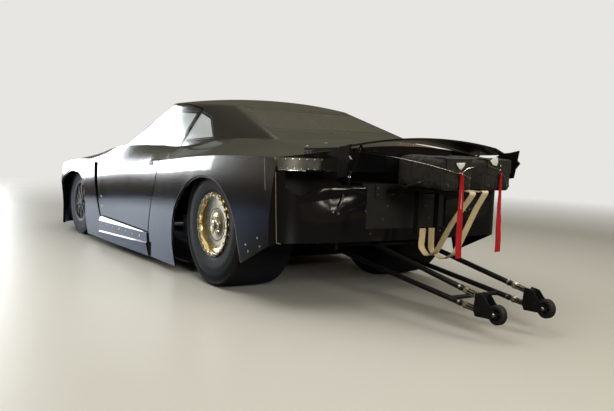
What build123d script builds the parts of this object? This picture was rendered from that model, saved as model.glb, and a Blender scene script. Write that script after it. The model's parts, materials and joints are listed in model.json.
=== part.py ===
from build123d import *
from math import cos, radians, sin
import os

# Drag racing coupe: X to the car's left, Y rearwards, Z up.
# Everything is drawn from the rear axle line and moved once, at the end, so that the
# origin lies on the floor under the middle of the whole length.

# Stance
wheelbase = 2920.0
nose_reach = 3793.0
tail_reach = 985.0
bar_wheel_reach = 1969.0
bar_wheel_radius = 55.0
floor_gap = 55.0
origin_shift = (nose_reach - bar_wheel_reach - bar_wheel_radius) / 2

# Skins and gaps
skin = 12.0
door_thickness = 42.0
roof_skin = 26.0
shut_gap = 6.0
pillar_gap = 15.0
seam = 0.3
glass_thickness = 5.0
glass_inset = 2.0

# Rear wheel and slick
slick_radius = 430.0
slick_width = 430.0
slick_bore = 203.0
slick_centre_x = 698.0
rear_rim_radius = 224.0
rear_axle_radius = 38.0

# Front wheel and tyre
front_radius = 330.0
front_tyre_width = 114.0
front_bore = 190.0
front_centre_x = 805.0
front_rim_radius = 205.0

# Steering
king_offset = 95.0
steer_arm = 120.0
pin_clearance = 0.05

# Cross sections of the body below the glass, each an arc, a slant and a crown a side.
# Columns: station, sill half width, side half width, side height, shoulder half width,
# shoulder height, deck half width, deck height, crown height
BODY_SECTIONS = (
    (-3900, 880, 905, 320, 860, 520, 560, 585, 612),
    (-3400, 915, 940, 400, 885, 680, 640, 735, 765),
    (-2920, 925, 950, 430, 890, 745, 660, 805, 838),
    (-2350, 915, 938, 430, 890, 765, 742, 880, 915),
    (-1300, 905, 935, 460, 905, 795, 738, 940, 975),
    (-300, 935, 958, 500, 935, 882, 730, 1008, 1048),
    (350, 940, 962, 520, 942, 920, 700, 1030, 1072),
    (1100, 930, 955, 560, 938, 952, 700, 986, 1040),
)

# Level sections of the cabin top: the screens' middle and corner lines, the side's
# widest point and the pillars.
# Columns: height, screen y, front pillar y, front pillar x, side x, rear pillar x,
# rear pillar y, rear screen y
CABIN_SECTIONS = (
    (800, -2710, -2410, 730, 786, 746, 1155, 1230),
    (1380, -1386, -1250, 528, 579, 476, -790, -730),
)
cabin_side_y = -1000.0
cabin_rear_y = 560.0
roof_height = 1351.0
roof_peak_y = -1120.0
roof_long_radius = 7200.0
roof_side_drop = 130.0
roof_edge_radius = 55.0
pillar_radius = 60.0


def side_prism(outline, x_low, x_high):
    """Solid with the outline (y, z) between two x values."""
    face = Plane.YZ.offset(x_low) * make_face(outline)
    return extrude(face, x_high - x_low)


def front_prism(outline, y_low, y_high):
    """Solid with the outline (x, z) between two y values."""
    face = Plane.XZ.offset(-y_high) * make_face(outline)
    return extrude(face, y_high - y_low)


def plan_prism(outline, z_low, z_high):
    """Solid with the outline (x, y) between two heights."""
    face = Plane.XY.offset(z_low) * make_face(outline)
    return extrude(face, z_high - z_low)


def block(x_low, x_high, y_low, y_high, z_low, z_high):
    """Box from its limits."""
    centre = ((x_low + x_high) / 2, (y_low + y_high) / 2, (z_low + z_high) / 2)
    return Pos(*centre) * Box(x_high - x_low, y_high - y_low, z_high - z_low)


def rod(start, end, radius):
    """Straight round bar between two points."""
    start = Vector(*start)
    end = Vector(*end)
    run = end - start
    face = Plane(origin=start, z_dir=run) * Circle(radius)
    return extrude(face, run.length)


def disc(x_low, x_high, y, z, radius):
    """Round bar along X."""
    return rod((x_low, y, z), (x_high, y, z), radius)


def body_section(row, inset):
    """One cross section of the body, moved inwards by inset."""
    y, sill_x, side_x, side_z, shoulder_x, shoulder_z, deck_x, deck_z, crown_z = row
    low_z = floor_gap - 2 * inset
    sill_x = sill_x - inset
    side_x = side_x - inset
    shoulder = (shoulder_x - inset, shoulder_z - 0.6 * inset)
    deck = (deck_x - 0.3 * inset, deck_z - inset)
    crown_z = crown_z - inset
    outline = [
        Line((-sill_x, low_z), (sill_x, low_z)),
        ThreePointArc((sill_x, low_z), (side_x, side_z), shoulder),
        Line(shoulder, deck),
        ThreePointArc(deck, (0, crown_z), (-deck[0], deck[1])),
        Line((-deck[0], deck[1]), (-shoulder[0], shoulder[1])),
        ThreePointArc((-shoulder[0], shoulder[1]), (-side_x, side_z), (-sill_x, low_z)),
    ]
    return Plane.XZ.offset(-y) * make_face(outline)


# Plan of the body: nose arc, nose corners, sides, tail corners and tail arc
nose_corner = (790.0, 250.0)
nose_shoulder = (895.0, 400.0)
nose_side = (990.0, 800.0)
tail_corner = (800.0, 50.0)
tail_shoulder = (905.0, 95.0)
tail_side = (985.0, 330.0)


def body_plan(inset):
    """Plan outline, moved inwards by inset."""
    nose = -nose_reach + inset
    tail = tail_reach - inset
    front = (nose_corner[0] - inset / 2, nose + nose_corner[1])
    front_mid = (nose_shoulder[0] - inset, nose + nose_shoulder[1])
    front_end = (nose_side[0] - inset, nose + nose_side[1])
    rear = (tail_corner[0] - inset / 2, tail - tail_corner[1])
    rear_mid = (tail_shoulder[0] - inset, tail - tail_shoulder[1])
    rear_end = (tail_side[0] - inset, tail - tail_side[1])
    half = [front, front_mid, front_end, rear_end, rear_mid, rear]
    other = [(-x, y) for x, y in half]
    return [
        ThreePointArc(other[0], (0, nose), half[0]),
        ThreePointArc(half[0], half[1], half[2]),
        Line(half[2], half[3]),
        ThreePointArc(half[3], half[4], half[5]),
        ThreePointArc(half[5], (0, tail), other[5]),
        ThreePointArc(other[5], other[4], other[3]),
        Line(other[3], other[2]),
        ThreePointArc(other[2], other[1], other[0]),
    ]


def lower_body(inset):
    """Solid of the body below the glass."""
    sections = [body_section(row, inset) for row in BODY_SECTIONS]
    return loft(sections) & plan_prism(body_plan(inset), -200, 1300)


def cabin_outline(row, inset):
    """One level section of the cabin top, moved inwards by inset."""
    z, screen_y, pillar_y, pillar_x, side_x, rear_x, rear_pillar_y, rear_y = row
    front = (pillar_x - inset, pillar_y + inset)
    rear = (rear_x - inset, rear_pillar_y - inset)
    side = (side_x - inset, cabin_side_y)
    outline = [
        ThreePointArc((-front[0], front[1]), (0, screen_y + inset), front),
        ThreePointArc(front, side, rear),
        ThreePointArc(rear, (0, rear_y - inset), (-rear[0], rear[1])),
        ThreePointArc((-rear[0], rear[1]), (-side[0], side[1]), (-front[0], front[1])),
    ]
    return Plane.XY.offset(z) * make_face(outline)


def cabin_top(inset):
    """Solid of the cabin top with its rounded pillars and crowned roof."""
    sections = [cabin_outline(row, inset) for row in CABIN_SECTIONS]
    solid = loft(sections, ruled=True)
    pillars = [e for e in solid.edges() if abs(e.length) > 700 and abs(e.tangent_at(0.5).Z) > 0.1]
    solid = fillet(pillars, pillar_radius - inset)
    axis_z = roof_height - inset - roof_long_radius
    crown = roof_height - inset - axis_z
    low = crown - 1000
    drop = roof_side_drop
    profile = [
        ThreePointArc((-900, crown - drop), (0, crown), (900, crown - drop)),
        Line((900, crown - drop), (900, low)),
        Line((900, low), (-900, low)),
        Line((-900, low), (-900, crown - drop)),
    ]
    face = Plane(origin=(0, roof_peak_y, axis_z), x_dir=(1, 0, 0), z_dir=(0, -1, 0)) * make_face(profile)
    axis = Axis((0, roof_peak_y, axis_z), (1, 0, 0))
    half_turn = 40.0
    face = face.rotate(axis, -half_turn / 2)
    bound = revolve(face, axis, half_turn)
    solid = solid & bound & block(-1100, 1100, -2900, cabin_rear_y, 700, 1500)
    roof_edges = [e for e in solid.edges() if e.center().Z > 1150 and e.length > 300]
    return solid, roof_edges


def rounded_top(inset):
    """Cabin top with its roof edges rounded."""
    top, roof_edges = cabin_top(inset)
    return fillet(roof_edges, roof_edge_radius - inset)


def mirrored(solid):
    """The same piece on the other side."""
    return mirror(solid, about=Plane.YZ)


# Wheel arches
front_axle_y = -wheelbase
front_arch_width = 465.0
front_arch_top = 635.0
rear_arch_front = -485.0
rear_arch_rear = 490.0
rear_arch_top = 765.0
lip_width = 14.0
lip_inset = 6.0


def front_arch(grow):
    """Outline (y, z) of the front arch opening, grown by grow."""
    y = front_axle_y
    half = front_arch_width + grow
    top = front_arch_top + grow
    return [
        Line((y - half - 45, -50), (y - half - 45, 250)),
        ThreePointArc((y - half - 45, 250), (y - 0.78 * half, 530 + 0.7 * grow), (y, top)),
        ThreePointArc((y, top), (y + 0.62 * half, 530 + 0.7 * grow), (y + half - 75, 250)),
        Line((y + half - 75, 250), (y + half - 45, -50)),
        Line((y + half - 45, -50), (y - half - 45, -50)),
    ]


def rear_arch(grow):
    """Outline (y, z) of the rear arch opening, grown by grow."""
    front = rear_arch_front - grow
    rear = rear_arch_rear + grow
    top = rear_arch_top + grow
    return [
        ThreePointArc((front, -50), (front - 85, 230), (front - 50, 480)),
        ThreePointArc((front - 50, 480), (-60, top), (rear - 75, 465)),
        Line((rear - 75, 465), (rear, 240)),
        Line((rear, 240), (rear + 120, -50)),
        Line((rear + 120, -50), (front, -50)),
    ]


# Shut lines in side view, as (y, z)
fender_foot = (-2120.0, 50.0)
fender_waist = (-2160.0, 265.0)
fender_head = (-2430.0, 730.0)
hood_rear_y = -2500.0
door_foot = (-2135.0, 275.0)
door_shoulder = (-2338.0, 740.0)
door_pillar_foot = (-2300.0, 885.0)
door_top_front = (-1500.0, 1262.0)
door_top_rear = (-770.0, 1238.0)
door_belt_rear = (-900.0, 975.0)
door_side_rear = (-930.0, 710.0)
door_heel = (-1050.0, 255.0)
door_cowl_x = 672.0


def door_outline(grow, side_gap):
    """Outline (y, z) of the door with its window frame, grown by grow."""
    g = grow
    rear = side_gap
    front_foot = (door_foot[0] - g, door_foot[1] - g)
    shoulder = (door_shoulder[0] - g, door_shoulder[1])
    pillar_foot = (door_pillar_foot[0] - g, door_pillar_foot[1] + g)
    top_front = (door_top_front[0] - g, door_top_front[1] + g)
    top_rear = (door_top_rear[0] + rear, door_top_rear[1] + g)
    mid_top = ((top_front[0] + top_rear[0]) / 2, max(top_front[1], top_rear[1]) + 22)
    belt = (door_belt_rear[0] + rear, door_belt_rear[1])
    side = (door_side_rear[0] + rear, door_side_rear[1])
    heel = (door_heel[0] + rear, door_heel[1] - g)
    return [
        Line(front_foot, shoulder),
        Line(shoulder, pillar_foot),
        Line(pillar_foot, top_front),
        ThreePointArc(top_front, mid_top, top_rear),
        Line(top_rear, belt),
        Line(belt, side),
        Line(side, heel),
        Line(heel, front_foot),
    ]


def door_prism(grow, side_gap):
    """Space of the left door, which ends outboard of the cowl at the foot of the pillar."""
    cowl_edge = block(300, door_cowl_x - 2 * grow, -2500, -1900, 700, 965 - 1.5 * grow)
    return side_prism(door_outline(grow, side_gap), 420, 1100) - cowl_edge


def poly(points):
    """Closed outline of straight lines."""
    return Polyline(*points, close=True)


def fender_region():
    """Everything ahead of the fender's rear edge and the hood's."""
    y = -nose_reach - 200
    head = fender_head
    outline = [(y, -100), (fender_foot[0], -100), fender_foot, fender_waist, head, (hood_rear_y, 800),
               (hood_rear_y, 1300), (y, 1300)]
    return side_prism(poly(outline), -1100, 1100)


def main_region():
    """Everything behind the vent gap and the hood's rear edge."""
    y = tail_reach + 300
    front = hood_rear_y + seam
    outline = [(front, -100), (front, 1500), (y, 1500), (y, -100)]
    return side_prism(poly(outline), -1100, 1100)


# Sill
sill_top_front = 262.0
sill_top_rear = 246.0
sill_rear_y = -1050.0
sill_side_x = 950.0
sill_width = 130.0
# Half sections of the sill from the foot up, as (inwards from the side, height)
SILL_FRONT = ((28, floor_gap), (0, 117), (12, 126), (6, 219), (26, sill_top_front))
SILL_REAR = ((28, floor_gap), (0, 160), (12, 169), (5, 243), (8, sill_top_rear))


def sill():
    """Stepped sill on the left, between the fender and the flare, its sloped ledge thinning rearwards."""
    ends = []
    for y, rows in ((-2300.0, SILL_FRONT), (sill_rear_y - seam, SILL_REAR)):
        outline = [(sill_side_x - sill_width, rows[0][1])]
        outline += [(sill_side_x - inwards, z) for inwards, z in rows]
        outline += [(sill_side_x - sill_width, rows[-1][1])]
        ends.append(Plane.XZ.offset(-y) * make_face(poly(outline)))
    front = (fender_waist[0] + seam, 400)
    side = [(fender_foot[0] + seam, 0), (sill_rear_y, 0), (sill_rear_y, 400), front,
            (fender_waist[0] + seam, fender_waist[1]), (fender_foot[0] + seam, fender_foot[1])]
    return loft(ends, ruled=True) & side_prism(poly(side), 700, 1100)


# Glass outlines in side view, as (y, z)
door_glass = ((-2180.0, 918.0), (-1475.0, 1228.0), (-830.0, 1205.0), (-945.0, 985.0))
rear_side_glass = ((-868.0, 1000.0), (-755.0, 1208.0), (-590.0, 1165.0), (-440.0, 1032.0))
# Screen outlines in front view, as (x, z) of one side
windscreen_side = ((560.0, 965.0), (468.0, 1285.0))
rear_screen_side = ((585.0, 1098.0), (470.0, 1262.0))


def side_window(points, clearance):
    """Prism of a side window of the left side, grown by clearance."""
    outline = make_face(poly(points))
    outline = offset(outline, clearance, kind=Kind.INTERSECTION) if clearance else outline
    return extrude(Plane.YZ.offset(300) * outline, 700)


def screen(points, clearance, y_low, y_high):
    """Prism of a screen seen along Y, grown by clearance."""
    (low_x, low_z), (top_x, top_z) = points
    outline = make_face(poly([(-low_x, low_z), (low_x, low_z), (top_x, top_z), (-top_x, top_z)]))
    outline = offset(outline, clearance, kind=Kind.INTERSECTION) if clearance else outline
    return extrude(Plane.XZ.offset(-y_high) * outline, y_high - y_low)


# Door hinges
hinge_x = 888.0
hinge_y = -2270.0
hinge_heights = (450.0, 600.0)
hinge_pin = 8.0
# Plan of the door's hinge ears, which bend inwards round the fender's edge, from the pin
HINGE_NECK = ((6, 5), (-34, 54), (19, 102), (28, 102), (28, 118), (8, 118), (-52, 62), (-52, 50), (-6, -5))
cowl_side_z = 742.0


def door_hinges():
    """Hinge arms on the cage's front posts, with their pins."""
    arms = []
    for z in hinge_heights:
        post_x, post_y = post_at(z)
        arm = rod((post_x, post_y, z), (hinge_x, hinge_y, z), 10)
        arm -= rod(post_foot, post_head, cage_tube + seam)
        arm = arm & block(post_x, 1000, -2400, -2000, 0, 900)
        arm += rod((hinge_x, hinge_y, z - 12), (hinge_x, hinge_y, z + 12), 15)
        arm += rod((hinge_x, hinge_y, z - 38), (hinge_x, hinge_y, z + 38), hinge_pin)
        arms += [arm, mirrored(arm)]
    return Compound(children=arms)


def both(solid):
    """A piece and its mirror image, as one compound."""
    return Compound(children=[solid, mirrored(solid)])


class Car:
    """The car's outer forms, made once, and every panel cut from them."""

    def __init__(self):
        self.top = rounded_top(0)
        outer = lower_body(0) + self.top
        inner_top = rounded_top(roof_skin)
        self.skinned = outer - (lower_body(skin) + inner_top)
        self.doored = outer - (lower_body(door_thickness) + inner_top)
        self.glazing = rounded_top(glass_inset) - rounded_top(glass_inset + glass_thickness)
        self.door_room = door_prism(shut_gap, pillar_gap)
        self.lip_room = lower_body(lip_inset) - lower_body(lip_inset + skin)

    def arch_lip(self, outline):
        """Folded lip inside the left arch that has this outline."""
        ring = side_prism(outline(0), 700, 1100) - side_prism(outline(-lip_width), 600, 1200)
        return self.lip_room & ring & block(0, 1100, -4000, 1000, floor_gap, 1500)

    def front_clip(self):
        """Hood, fenders and bumper in one lift-off moulding."""
        arch = side_prism(front_arch(0), 600, 1100)
        lip = self.arch_lip(front_arch) & fender_region()
        shell = (self.skinned & fender_region()) - arch - mirrored(arch)
        return shell + lip + mirrored(lip)

    def main_shell(self):
        """Roof, cowl, quarters and deck with the door and window openings."""
        shell = self.skinned & main_region()
        shell = shell - self.door_room - mirrored(self.door_room)
        arch = side_prism(rear_arch(0), 560, 1100)
        shell = shell - arch - mirrored(arch)
        window = side_window(rear_side_glass, 1.0)
        shell = shell - window - mirrored(window)
        shell = shell - screen(windscreen_side, 1.0, -2750, -1300)
        shell = shell - screen(rear_screen_side, 1.0, -700, 700)
        shell = shell - block(-1100, 1100, -2600, sill_rear_y, -100, sill_top_front + 10)
        shell = shell - block(-1100, 1100, -2600, -2100, -100, cowl_side_z)
        tail_under = [(480, -100), (490, 240), (850, 410), (950, bumper_low), (1200, bumper_low),
                      (1200, -100)]
        return shell - side_prism(poly(tail_under), -1100, 1100)

    def door(self):
        """Left door with its hinge ears."""
        panel = self.doored & door_prism(0, 0)
        panel = panel - side_window(door_glass, 1.0)
        for z in hinge_heights:
            panel -= block(hinge_x - 60, hinge_x + 17, hinge_y - 90, hinge_y + 24, z - 45, z + 45)
            for low in (z + 13, z - 38):
                ear = plan_prism(poly([(hinge_x + x, hinge_y + y) for x, y in HINGE_NECK]), low, low + 25)
                ear += rod((hinge_x, hinge_y, low), (hinge_x, hinge_y, low + 25), 16)
                bore = hinge_pin + pin_clearance
                ear -= rod((hinge_x, hinge_y, low - 5), (hinge_x, hinge_y, low + 30), bore)
                panel += ear
        return panel

    def door_glass(self):
        """Glass of the left door."""
        return self.glazing & side_window(door_glass, 0)


def straight(x, y_low, z_low, y_high, z_high, radius):
    """Bar in the plane of one x value."""
    return rod((x, y_low, z_low), (x, y_high, z_high), radius)


# Frame and cage
rail_x = 330.0
rail_width = 50.0
rail_height = 76.0
rail_front_y = -3350.0
rail_rear_y = -560.0
floor_z = 75.0
floor_sheet = 8.0
cage_tube = 21.0
hoop_y = -650.0
rear_loop_y = 660.0
rear_loop_top = 640.0
rear_loop_low = 360.0
kick_y = rail_rear_y + 30
kick_z = rear_loop_top - 30
post_head = (610.0, -2150.0, 850.0)
post_foot = (615.0, -2240.0, 83.0)
roof_bar_x = 455.0
roof_bar_z = 1262.0


def post_at(z):
    """Middle (x, y) of the left front post at a height."""
    share = (z - post_foot[2]) / (post_head[2] - post_foot[2])
    return tuple(low + share * (high - low) for low, high in zip(post_foot[:2], post_head[:2]))


def floor_pan():
    """Flat floor between the sills."""
    half = sill_side_x - sill_width - seam
    return block(-half, half, -2105, rail_rear_y + 20, floor_z, floor_z + floor_sheet)


def bent_tube(points, radius, bend):
    """Round tube along straight runs joined by arcs."""
    path = FilletPolyline(*points, radius=bend)
    start = path @ 0
    face = Plane(origin=start, z_dir=path % 0) * Circle(radius)
    return sweep(face, path=path)


def frame_rails():
    """Two main rails, their cross members and the loop over the rear axle."""
    low = floor_z + floor_sheet
    half = rail_width / 2
    sides = []
    for x in (-rail_x, rail_x):
        rail = block(x - half, x + half, rail_front_y, rail_rear_y, low, low + rail_height)
        row = [(x, rail_rear_y - 30, low + 40), (x, kick_y, kick_z), (x, rear_loop_y, rear_loop_top),
               (x, rear_loop_y, rear_loop_low - 30)]
        sides.append(rail + bent_tube(row, cage_tube, (90, 40)))
    frame = sides[0] + sides[1]
    for y in (rail_front_y + 30, -2200, -1300, rail_rear_y - 60):
        frame += block(-rail_x, rail_x, y - 20, y + 20, low + 5, low + 60)
    for z in (rear_loop_top, rear_loop_low):
        frame += rod((-rail_x - 5, rear_loop_y, z), (rail_x + 5, rear_loop_y, z), cage_tube * 0.8)
    return frame


def roof_under(x, y):
    """Height of the roof's inner face."""
    across = (900.0 ** 2 + roof_side_drop ** 2) / (2 * roof_side_drop)
    reach = roof_long_radius - across + (across ** 2 - x ** 2) ** 0.5
    centre = roof_height - roof_skin - roof_long_radius
    return centre + (reach ** 2 - (y - roof_peak_y) ** 2) ** 0.5


def main_hoop():
    """Hoop behind the seat, with the pads that the roof rests on."""
    low = floor_z + floor_sheet
    top_x, top_z = roof_bar_x, roof_bar_z
    points = [(-600, hoop_y, low), (-615, hoop_y, 850), (-top_x, hoop_y, top_z), (top_x, hoop_y, top_z),
              (615, hoop_y, 850), (600, hoop_y, low)]
    hoop = bent_tube(points, cage_tube, 120)
    for x in (-250, 250):
        hoop += rod((x, hoop_y, top_z), (x, hoop_y, roof_under(abs(x) + 12, hoop_y + 12) - seam), 12)
    return hoop - block(-700, 700, hoop_y - 40, hoop_y + 40, floor_z - 40, low)


def roof_bars():
    """Bars from the hoop along the roof and down the front pillars, with the header bar."""
    low = floor_z + floor_sheet
    bars = rod((-roof_bar_x + 10, -1330, roof_bar_z), (roof_bar_x - 10, -1330, roof_bar_z), cage_tube)
    for side in (-1, 1):
        points = [(side * (roof_bar_x - 60), hoop_y, roof_bar_z), (side * roof_bar_x, -1390, roof_bar_z),
                  (side * post_head[0], post_head[1], post_head[2]),
                  (side * post_foot[0], post_foot[1], low)]
        bars += bent_tube(points, cage_tube, 110)
    hoop_top = rod((-roof_bar_x, hoop_y, roof_bar_z), (roof_bar_x, hoop_y, roof_bar_z), cage_tube + seam)
    return (bars & block(-800, 800, -2400, hoop_y, low, 1400)) - hoop_top


def cage_braces():
    """Rear stays and door bars, straight between the bends."""
    radius = cage_tube * 0.8
    reach = cage_tube + seam
    hoop_top = rod((-roof_bar_x, hoop_y, roof_bar_z), (roof_bar_x, hoop_y, roof_bar_z), reach)
    hoop_side = rod((600, hoop_y, 83), (615, hoop_y, 850), reach)
    loop = rod((rail_x, kick_y, kick_z), (rail_x, rear_loop_y, rear_loop_top), reach)
    stay = rod((300, hoop_y, roof_bar_z), (rail_x, 560, 637), radius) - hoop_top - loop
    pieces = [stay]
    for front_z, rear_z in ((640, 520), (300, 200)):
        bar = rod((613, -2200, front_z), (606, hoop_y, rear_z), radius)
        bar = bar - hoop_side - block(500, 700, hoop_y - 5, hoop_y + 60, 0, 900)
        post = rod(post_foot, post_head, reach)
        ahead = block(500, 700, -2300, post_at(front_z)[1], 0, 900)
        pieces.append(bar - post - ahead)
    return Compound(children=pieces + [mirrored(p) for p in pieces])


# Wheels
# Half section of a tyre: share of the half width, share of the height from bore to tread
TYRE_WALL = ((0.93, 0.0), (0.985, 0.2), (1.0, 0.45), (0.98, 0.7), (0.93, 0.86), (0.84, 0.96), (0.72, 1.0))


def tyre(radius, width, bore):
    """Tyre outline, centred on the axle line."""
    half = width / 2
    wall = [(half * across, bore + up * (radius - bore)) for across, up in TYRE_WALL]
    return poly(wall + [(-x, r) for x, r in reversed(wall)])


def wheel(bore, rim_radius, width, face_x, shaft, hub_radius, hub_length):
    """Rim barrel, lipped edges, face disc and bored hub; the outer side towards +X."""
    half = width * 0.465
    barrel = [(-half, bore - 13), (half, bore - 13), (half, rim_radius), (half - 12, rim_radius),
              (half - 12, bore), (-half + 12, bore), (-half + 12, rim_radius - 8), (-half, rim_radius - 8)]
    face = [(face_x - 8, hub_radius - 1), (face_x + 8, hub_radius - 1), (face_x + 8, bore - 12),
            (face_x - 8, bore - 12)]
    hub = [(face_x - hub_length, shaft), (face_x + 20, shaft), (face_x + 20, hub_radius),
           (face_x - hub_length, hub_radius)]
    body = revolve(Plane.XY * make_face(poly(barrel)), Axis.X)
    body += revolve(Plane.XY * make_face(poly(face)), Axis.X)
    body += revolve(Plane.XY * make_face(poly(hub)), Axis.X)
    return body


rear_hub_length = 260.0
rear_face_x = 150.0
front_face_x = 28.0
spindle_radius = 16.0


def rear_slick():
    """Left rear slick."""
    profile = tyre(slick_radius, slick_width, slick_bore)
    half = slick_width * 0.465
    grooves = [(half - 14, slick_bore - 1), (half + 20, slick_bore - 1), (half + 20, rear_rim_radius + 1),
               (half - 14, rear_rim_radius + 1)]
    body = revolve(Plane.XY * make_face(profile), Axis.X)
    cut = revolve(Plane.XY * make_face(poly(grooves)), Axis.X)
    body -= cut
    body -= mirror(cut, about=Plane.YZ)
    return Pos(slick_centre_x, 0, slick_radius) * body


def rear_wheel():
    """Left rear wheel."""
    body = wheel(slick_bore, rear_rim_radius, slick_width, rear_face_x, rear_axle_radius + pin_clearance, 75,
                 rear_hub_length)
    return Pos(slick_centre_x, 0, slick_radius) * body


def front_tyre():
    """Left front tyre."""
    profile = tyre(front_radius, front_tyre_width, front_bore)
    half = front_tyre_width * 0.465
    groove = [(half - 14, front_bore - 1), (half + 20, front_bore - 1), (half + 20, front_rim_radius + 1),
              (half - 14, front_rim_radius + 1)]
    body = revolve(Plane.XY * make_face(profile), Axis.X)
    cut = revolve(Plane.XY * make_face(poly(groove)), Axis.X)
    body -= cut
    body -= mirror(cut, about=Plane.YZ)
    return Pos(front_centre_x, front_axle_y, front_radius) * body


def front_wheel():
    """Left front wheel."""
    shaft = spindle_radius + pin_clearance
    body = wheel(front_bore, front_rim_radius, front_tyre_width, front_face_x, shaft, 32, 50)
    return Pos(front_centre_x, front_axle_y, front_radius) * body


# Front suspension
king_x = front_centre_x - king_offset
king_pin = 12.0
arm_z = 175.0
strut_foot_z = 470.0
strut_top_z = 720.0
rack_z = 268.0


def knuckle():
    """Left upright with spindle, pins and steering arm."""
    y = front_axle_y
    body = block(king_x - 22, king_x + 18, y - 26, y + 26, arm_z + 20, strut_foot_z - 10)
    body += disc(king_x, front_centre_x + front_face_x + 18, y, front_radius, spindle_radius)
    body += rod((king_x, y, arm_z - 14), (king_x, y, strut_foot_z + 30), king_pin)
    body += block(king_x - 14, king_x + 14, y - steer_arm, y, rack_z - 34, rack_z - 14)
    body += rod((king_x, y - steer_arm, rack_z - 34), (king_x, y - steer_arm, rack_z - 14), 18)
    return body


def front_arms():
    """Lower arms from the rails to the uprights."""
    y = front_axle_y
    inner = rail_x + rail_width / 2
    outline = [(inner + seam, y - 150), (king_x, y - 30), (king_x, y + 30), (inner + seam, y + 150)]
    arm = plan_prism(poly(outline), arm_z - 14, arm_z + 6)
    arm += rod((king_x, y, arm_z - 14), (king_x, y, arm_z + 6), 30)
    inside = [(inner + 60, y - 90), (king_x - 90, y - 18), (king_x - 90, y + 18), (inner + 60, y + 90)]
    arm -= plan_prism(poly(inside), arm_z - 40, arm_z + 40)
    arm -= rod((king_x, y, arm_z - 40), (king_x, y, arm_z + 40), king_pin + pin_clearance)
    drop = block(inner + seam, inner + 20, y - 150, y - 110, floor_z + floor_sheet + 5, arm_z)
    drop += block(inner + seam, inner + 20, y + 110, y + 150, floor_z + floor_sheet + 5, arm_z)
    return both(arm + drop)


def front_struts():
    """Struts over the uprights, braced to the rails."""
    y = front_axle_y
    low = strut_foot_z
    strut = rod((king_x, y, low), (king_x, y, strut_top_z), 28)
    strut -= rod((king_x, y, low - 5), (king_x, y, low + 40), king_pin + pin_clearance)
    strut += rod((king_x, y, strut_top_z - 20), (rail_x + 20, y - 60, strut_top_z - 20), cage_tube * 0.8)
    foot = floor_z + floor_sheet + rail_height + seam
    strut += rod((rail_x + 6, y - 60, strut_top_z - 20), (rail_x + 6, y - 60, foot), cage_tube * 0.8)
    return both(strut & block(0, 1000, y - 300, y + 300, foot, 900))


def steering_rack():
    """Rack housing on the front cross member."""
    y = front_axle_y - steer_arm
    body = disc(-200, 200, y, rack_z, 24) - disc(-210, 210, y, rack_z, 10 + pin_clearance)
    low = floor_z + floor_sheet + rail_height + seam
    for side in (-1, 1):
        x = side * 180
        body += block(x - 12, x + 12, y - 12, y + 12, low, rack_z - 18)
    body += block(-rail_x, rail_x, y - 20, y + 20, low, low + 20)
    return body


def rack_bar():
    """Sliding rack with its tie rods and rod ends."""
    y = front_axle_y - steer_arm
    bar = disc(-king_x, king_x, y, rack_z, 10)
    for side in (-1, 1):
        bar += rod((side * king_x, y, rack_z - 13.5), (side * king_x, y, rack_z + 12), 17)
    return bar


# Rear suspension
housing_radius = 150.0
housing_tube = 48.0


def axle_housing():
    """Rear axle housing with its shaft ends and wheelie bar lugs."""
    z = slick_radius
    end_x = slick_centre_x + rear_face_x + 15
    body = disc(-end_x, end_x, 0, z, rear_axle_radius)
    body += disc(-470, 470, 0, z, housing_tube)
    body += disc(-130, 130, 0, z, housing_radius)
    for side in (-1, 1):
        x = side * bar_x
        body += block(x - 8, x + 8, 0, 150, z - 110, z + 110)
    return body


def rear_links():
    """Trailing links and spring units between the housing and the frame."""
    z = slick_radius
    low = floor_z + floor_sheet + rail_height
    pieces = []
    for side in (-1, 1):
        x = side * 270
        tube = disc(-470, 470, 0, z, housing_tube + seam)
        member = block(-rail_x, rail_x, rail_rear_y - 80 - seam, rail_rear_y - 40 + seam, 0, low)
        pieces.append(rod((x, 0, z), (x, rail_rear_y - 60, low - 46), 14) - tube - member)
        cross = disc(-rail_x, rail_x, rear_loop_y, rear_loop_top, cage_tube * 0.8 + seam)
        pieces.append((rod((side * 250, 0, z), (side * 250, rear_loop_y, rear_loop_top), 26) - tube - cross)
                      & block(-300, 300, 0, rear_loop_y, 0, 900))
    return Compound(children=pieces)


def rear_tubs():
    """Sheet tubs inside the rear wheels."""
    z = slick_radius
    tub = disc(455, 730, 0, z, 506) - disc(461, 740, 0, z, 500)
    tub = tub & block(400, 900, -600, 520, z + 10, 1200)
    return both(tub - disc(400, 480, 0, z, housing_tube + seam))


# Wheelie bar
bar_x = 200.0
bar_tube = 16.0
bar_wheel_z = 151.0
bar_wheel_width = 40.0
bar_upper = ((150.0, 523.0), (1850.0, 222.0))
bar_lower = ((150.0, 340.0), (1850.0, 146.0))


def wheelie_bar():
    """Four tubes from the axle housing to the wheel forks, with cross bars."""
    pieces = []
    half = bar_wheel_width / 2 + 2
    fork_rear_y = bar_wheel_reach + 14
    for x in (-bar_x, bar_x):
        for (y_low, z_low), (y_high, z_high) in (bar_upper, bar_lower):
            pieces.append(straight(x, y_low + 3.4, z_low, y_high, z_high, bar_tube))
        head = block(x - 27, x + 27, 1830, 1870, 128, 240)
        for cheek_x in (x - half - 5, x + half):
            head += block(cheek_x, cheek_x + 5, 1850, fork_rear_y, bar_wheel_z - 16, bar_wheel_z + 16)
        head += disc(x - half - 5, x + half + 5, bar_wheel_reach, bar_wheel_z, 8)
        pieces.append(head)
    frame = pieces[0]
    for piece in pieces[1:]:
        frame += piece
    frame += disc(-bar_x, bar_x, 1600, 172, bar_tube * 0.8)
    frame += disc(-bar_x, bar_x, 900, 390, bar_tube * 0.8)
    return frame


def bar_wheel():
    """Left wheelie wheel."""
    half = bar_wheel_width / 2
    body = disc(bar_x - half, bar_x + half, bar_wheel_reach, bar_wheel_z, bar_wheel_radius)
    return body - disc(bar_x - 60, bar_x + 60, bar_wheel_reach, bar_wheel_z, 8 + pin_clearance)


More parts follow.
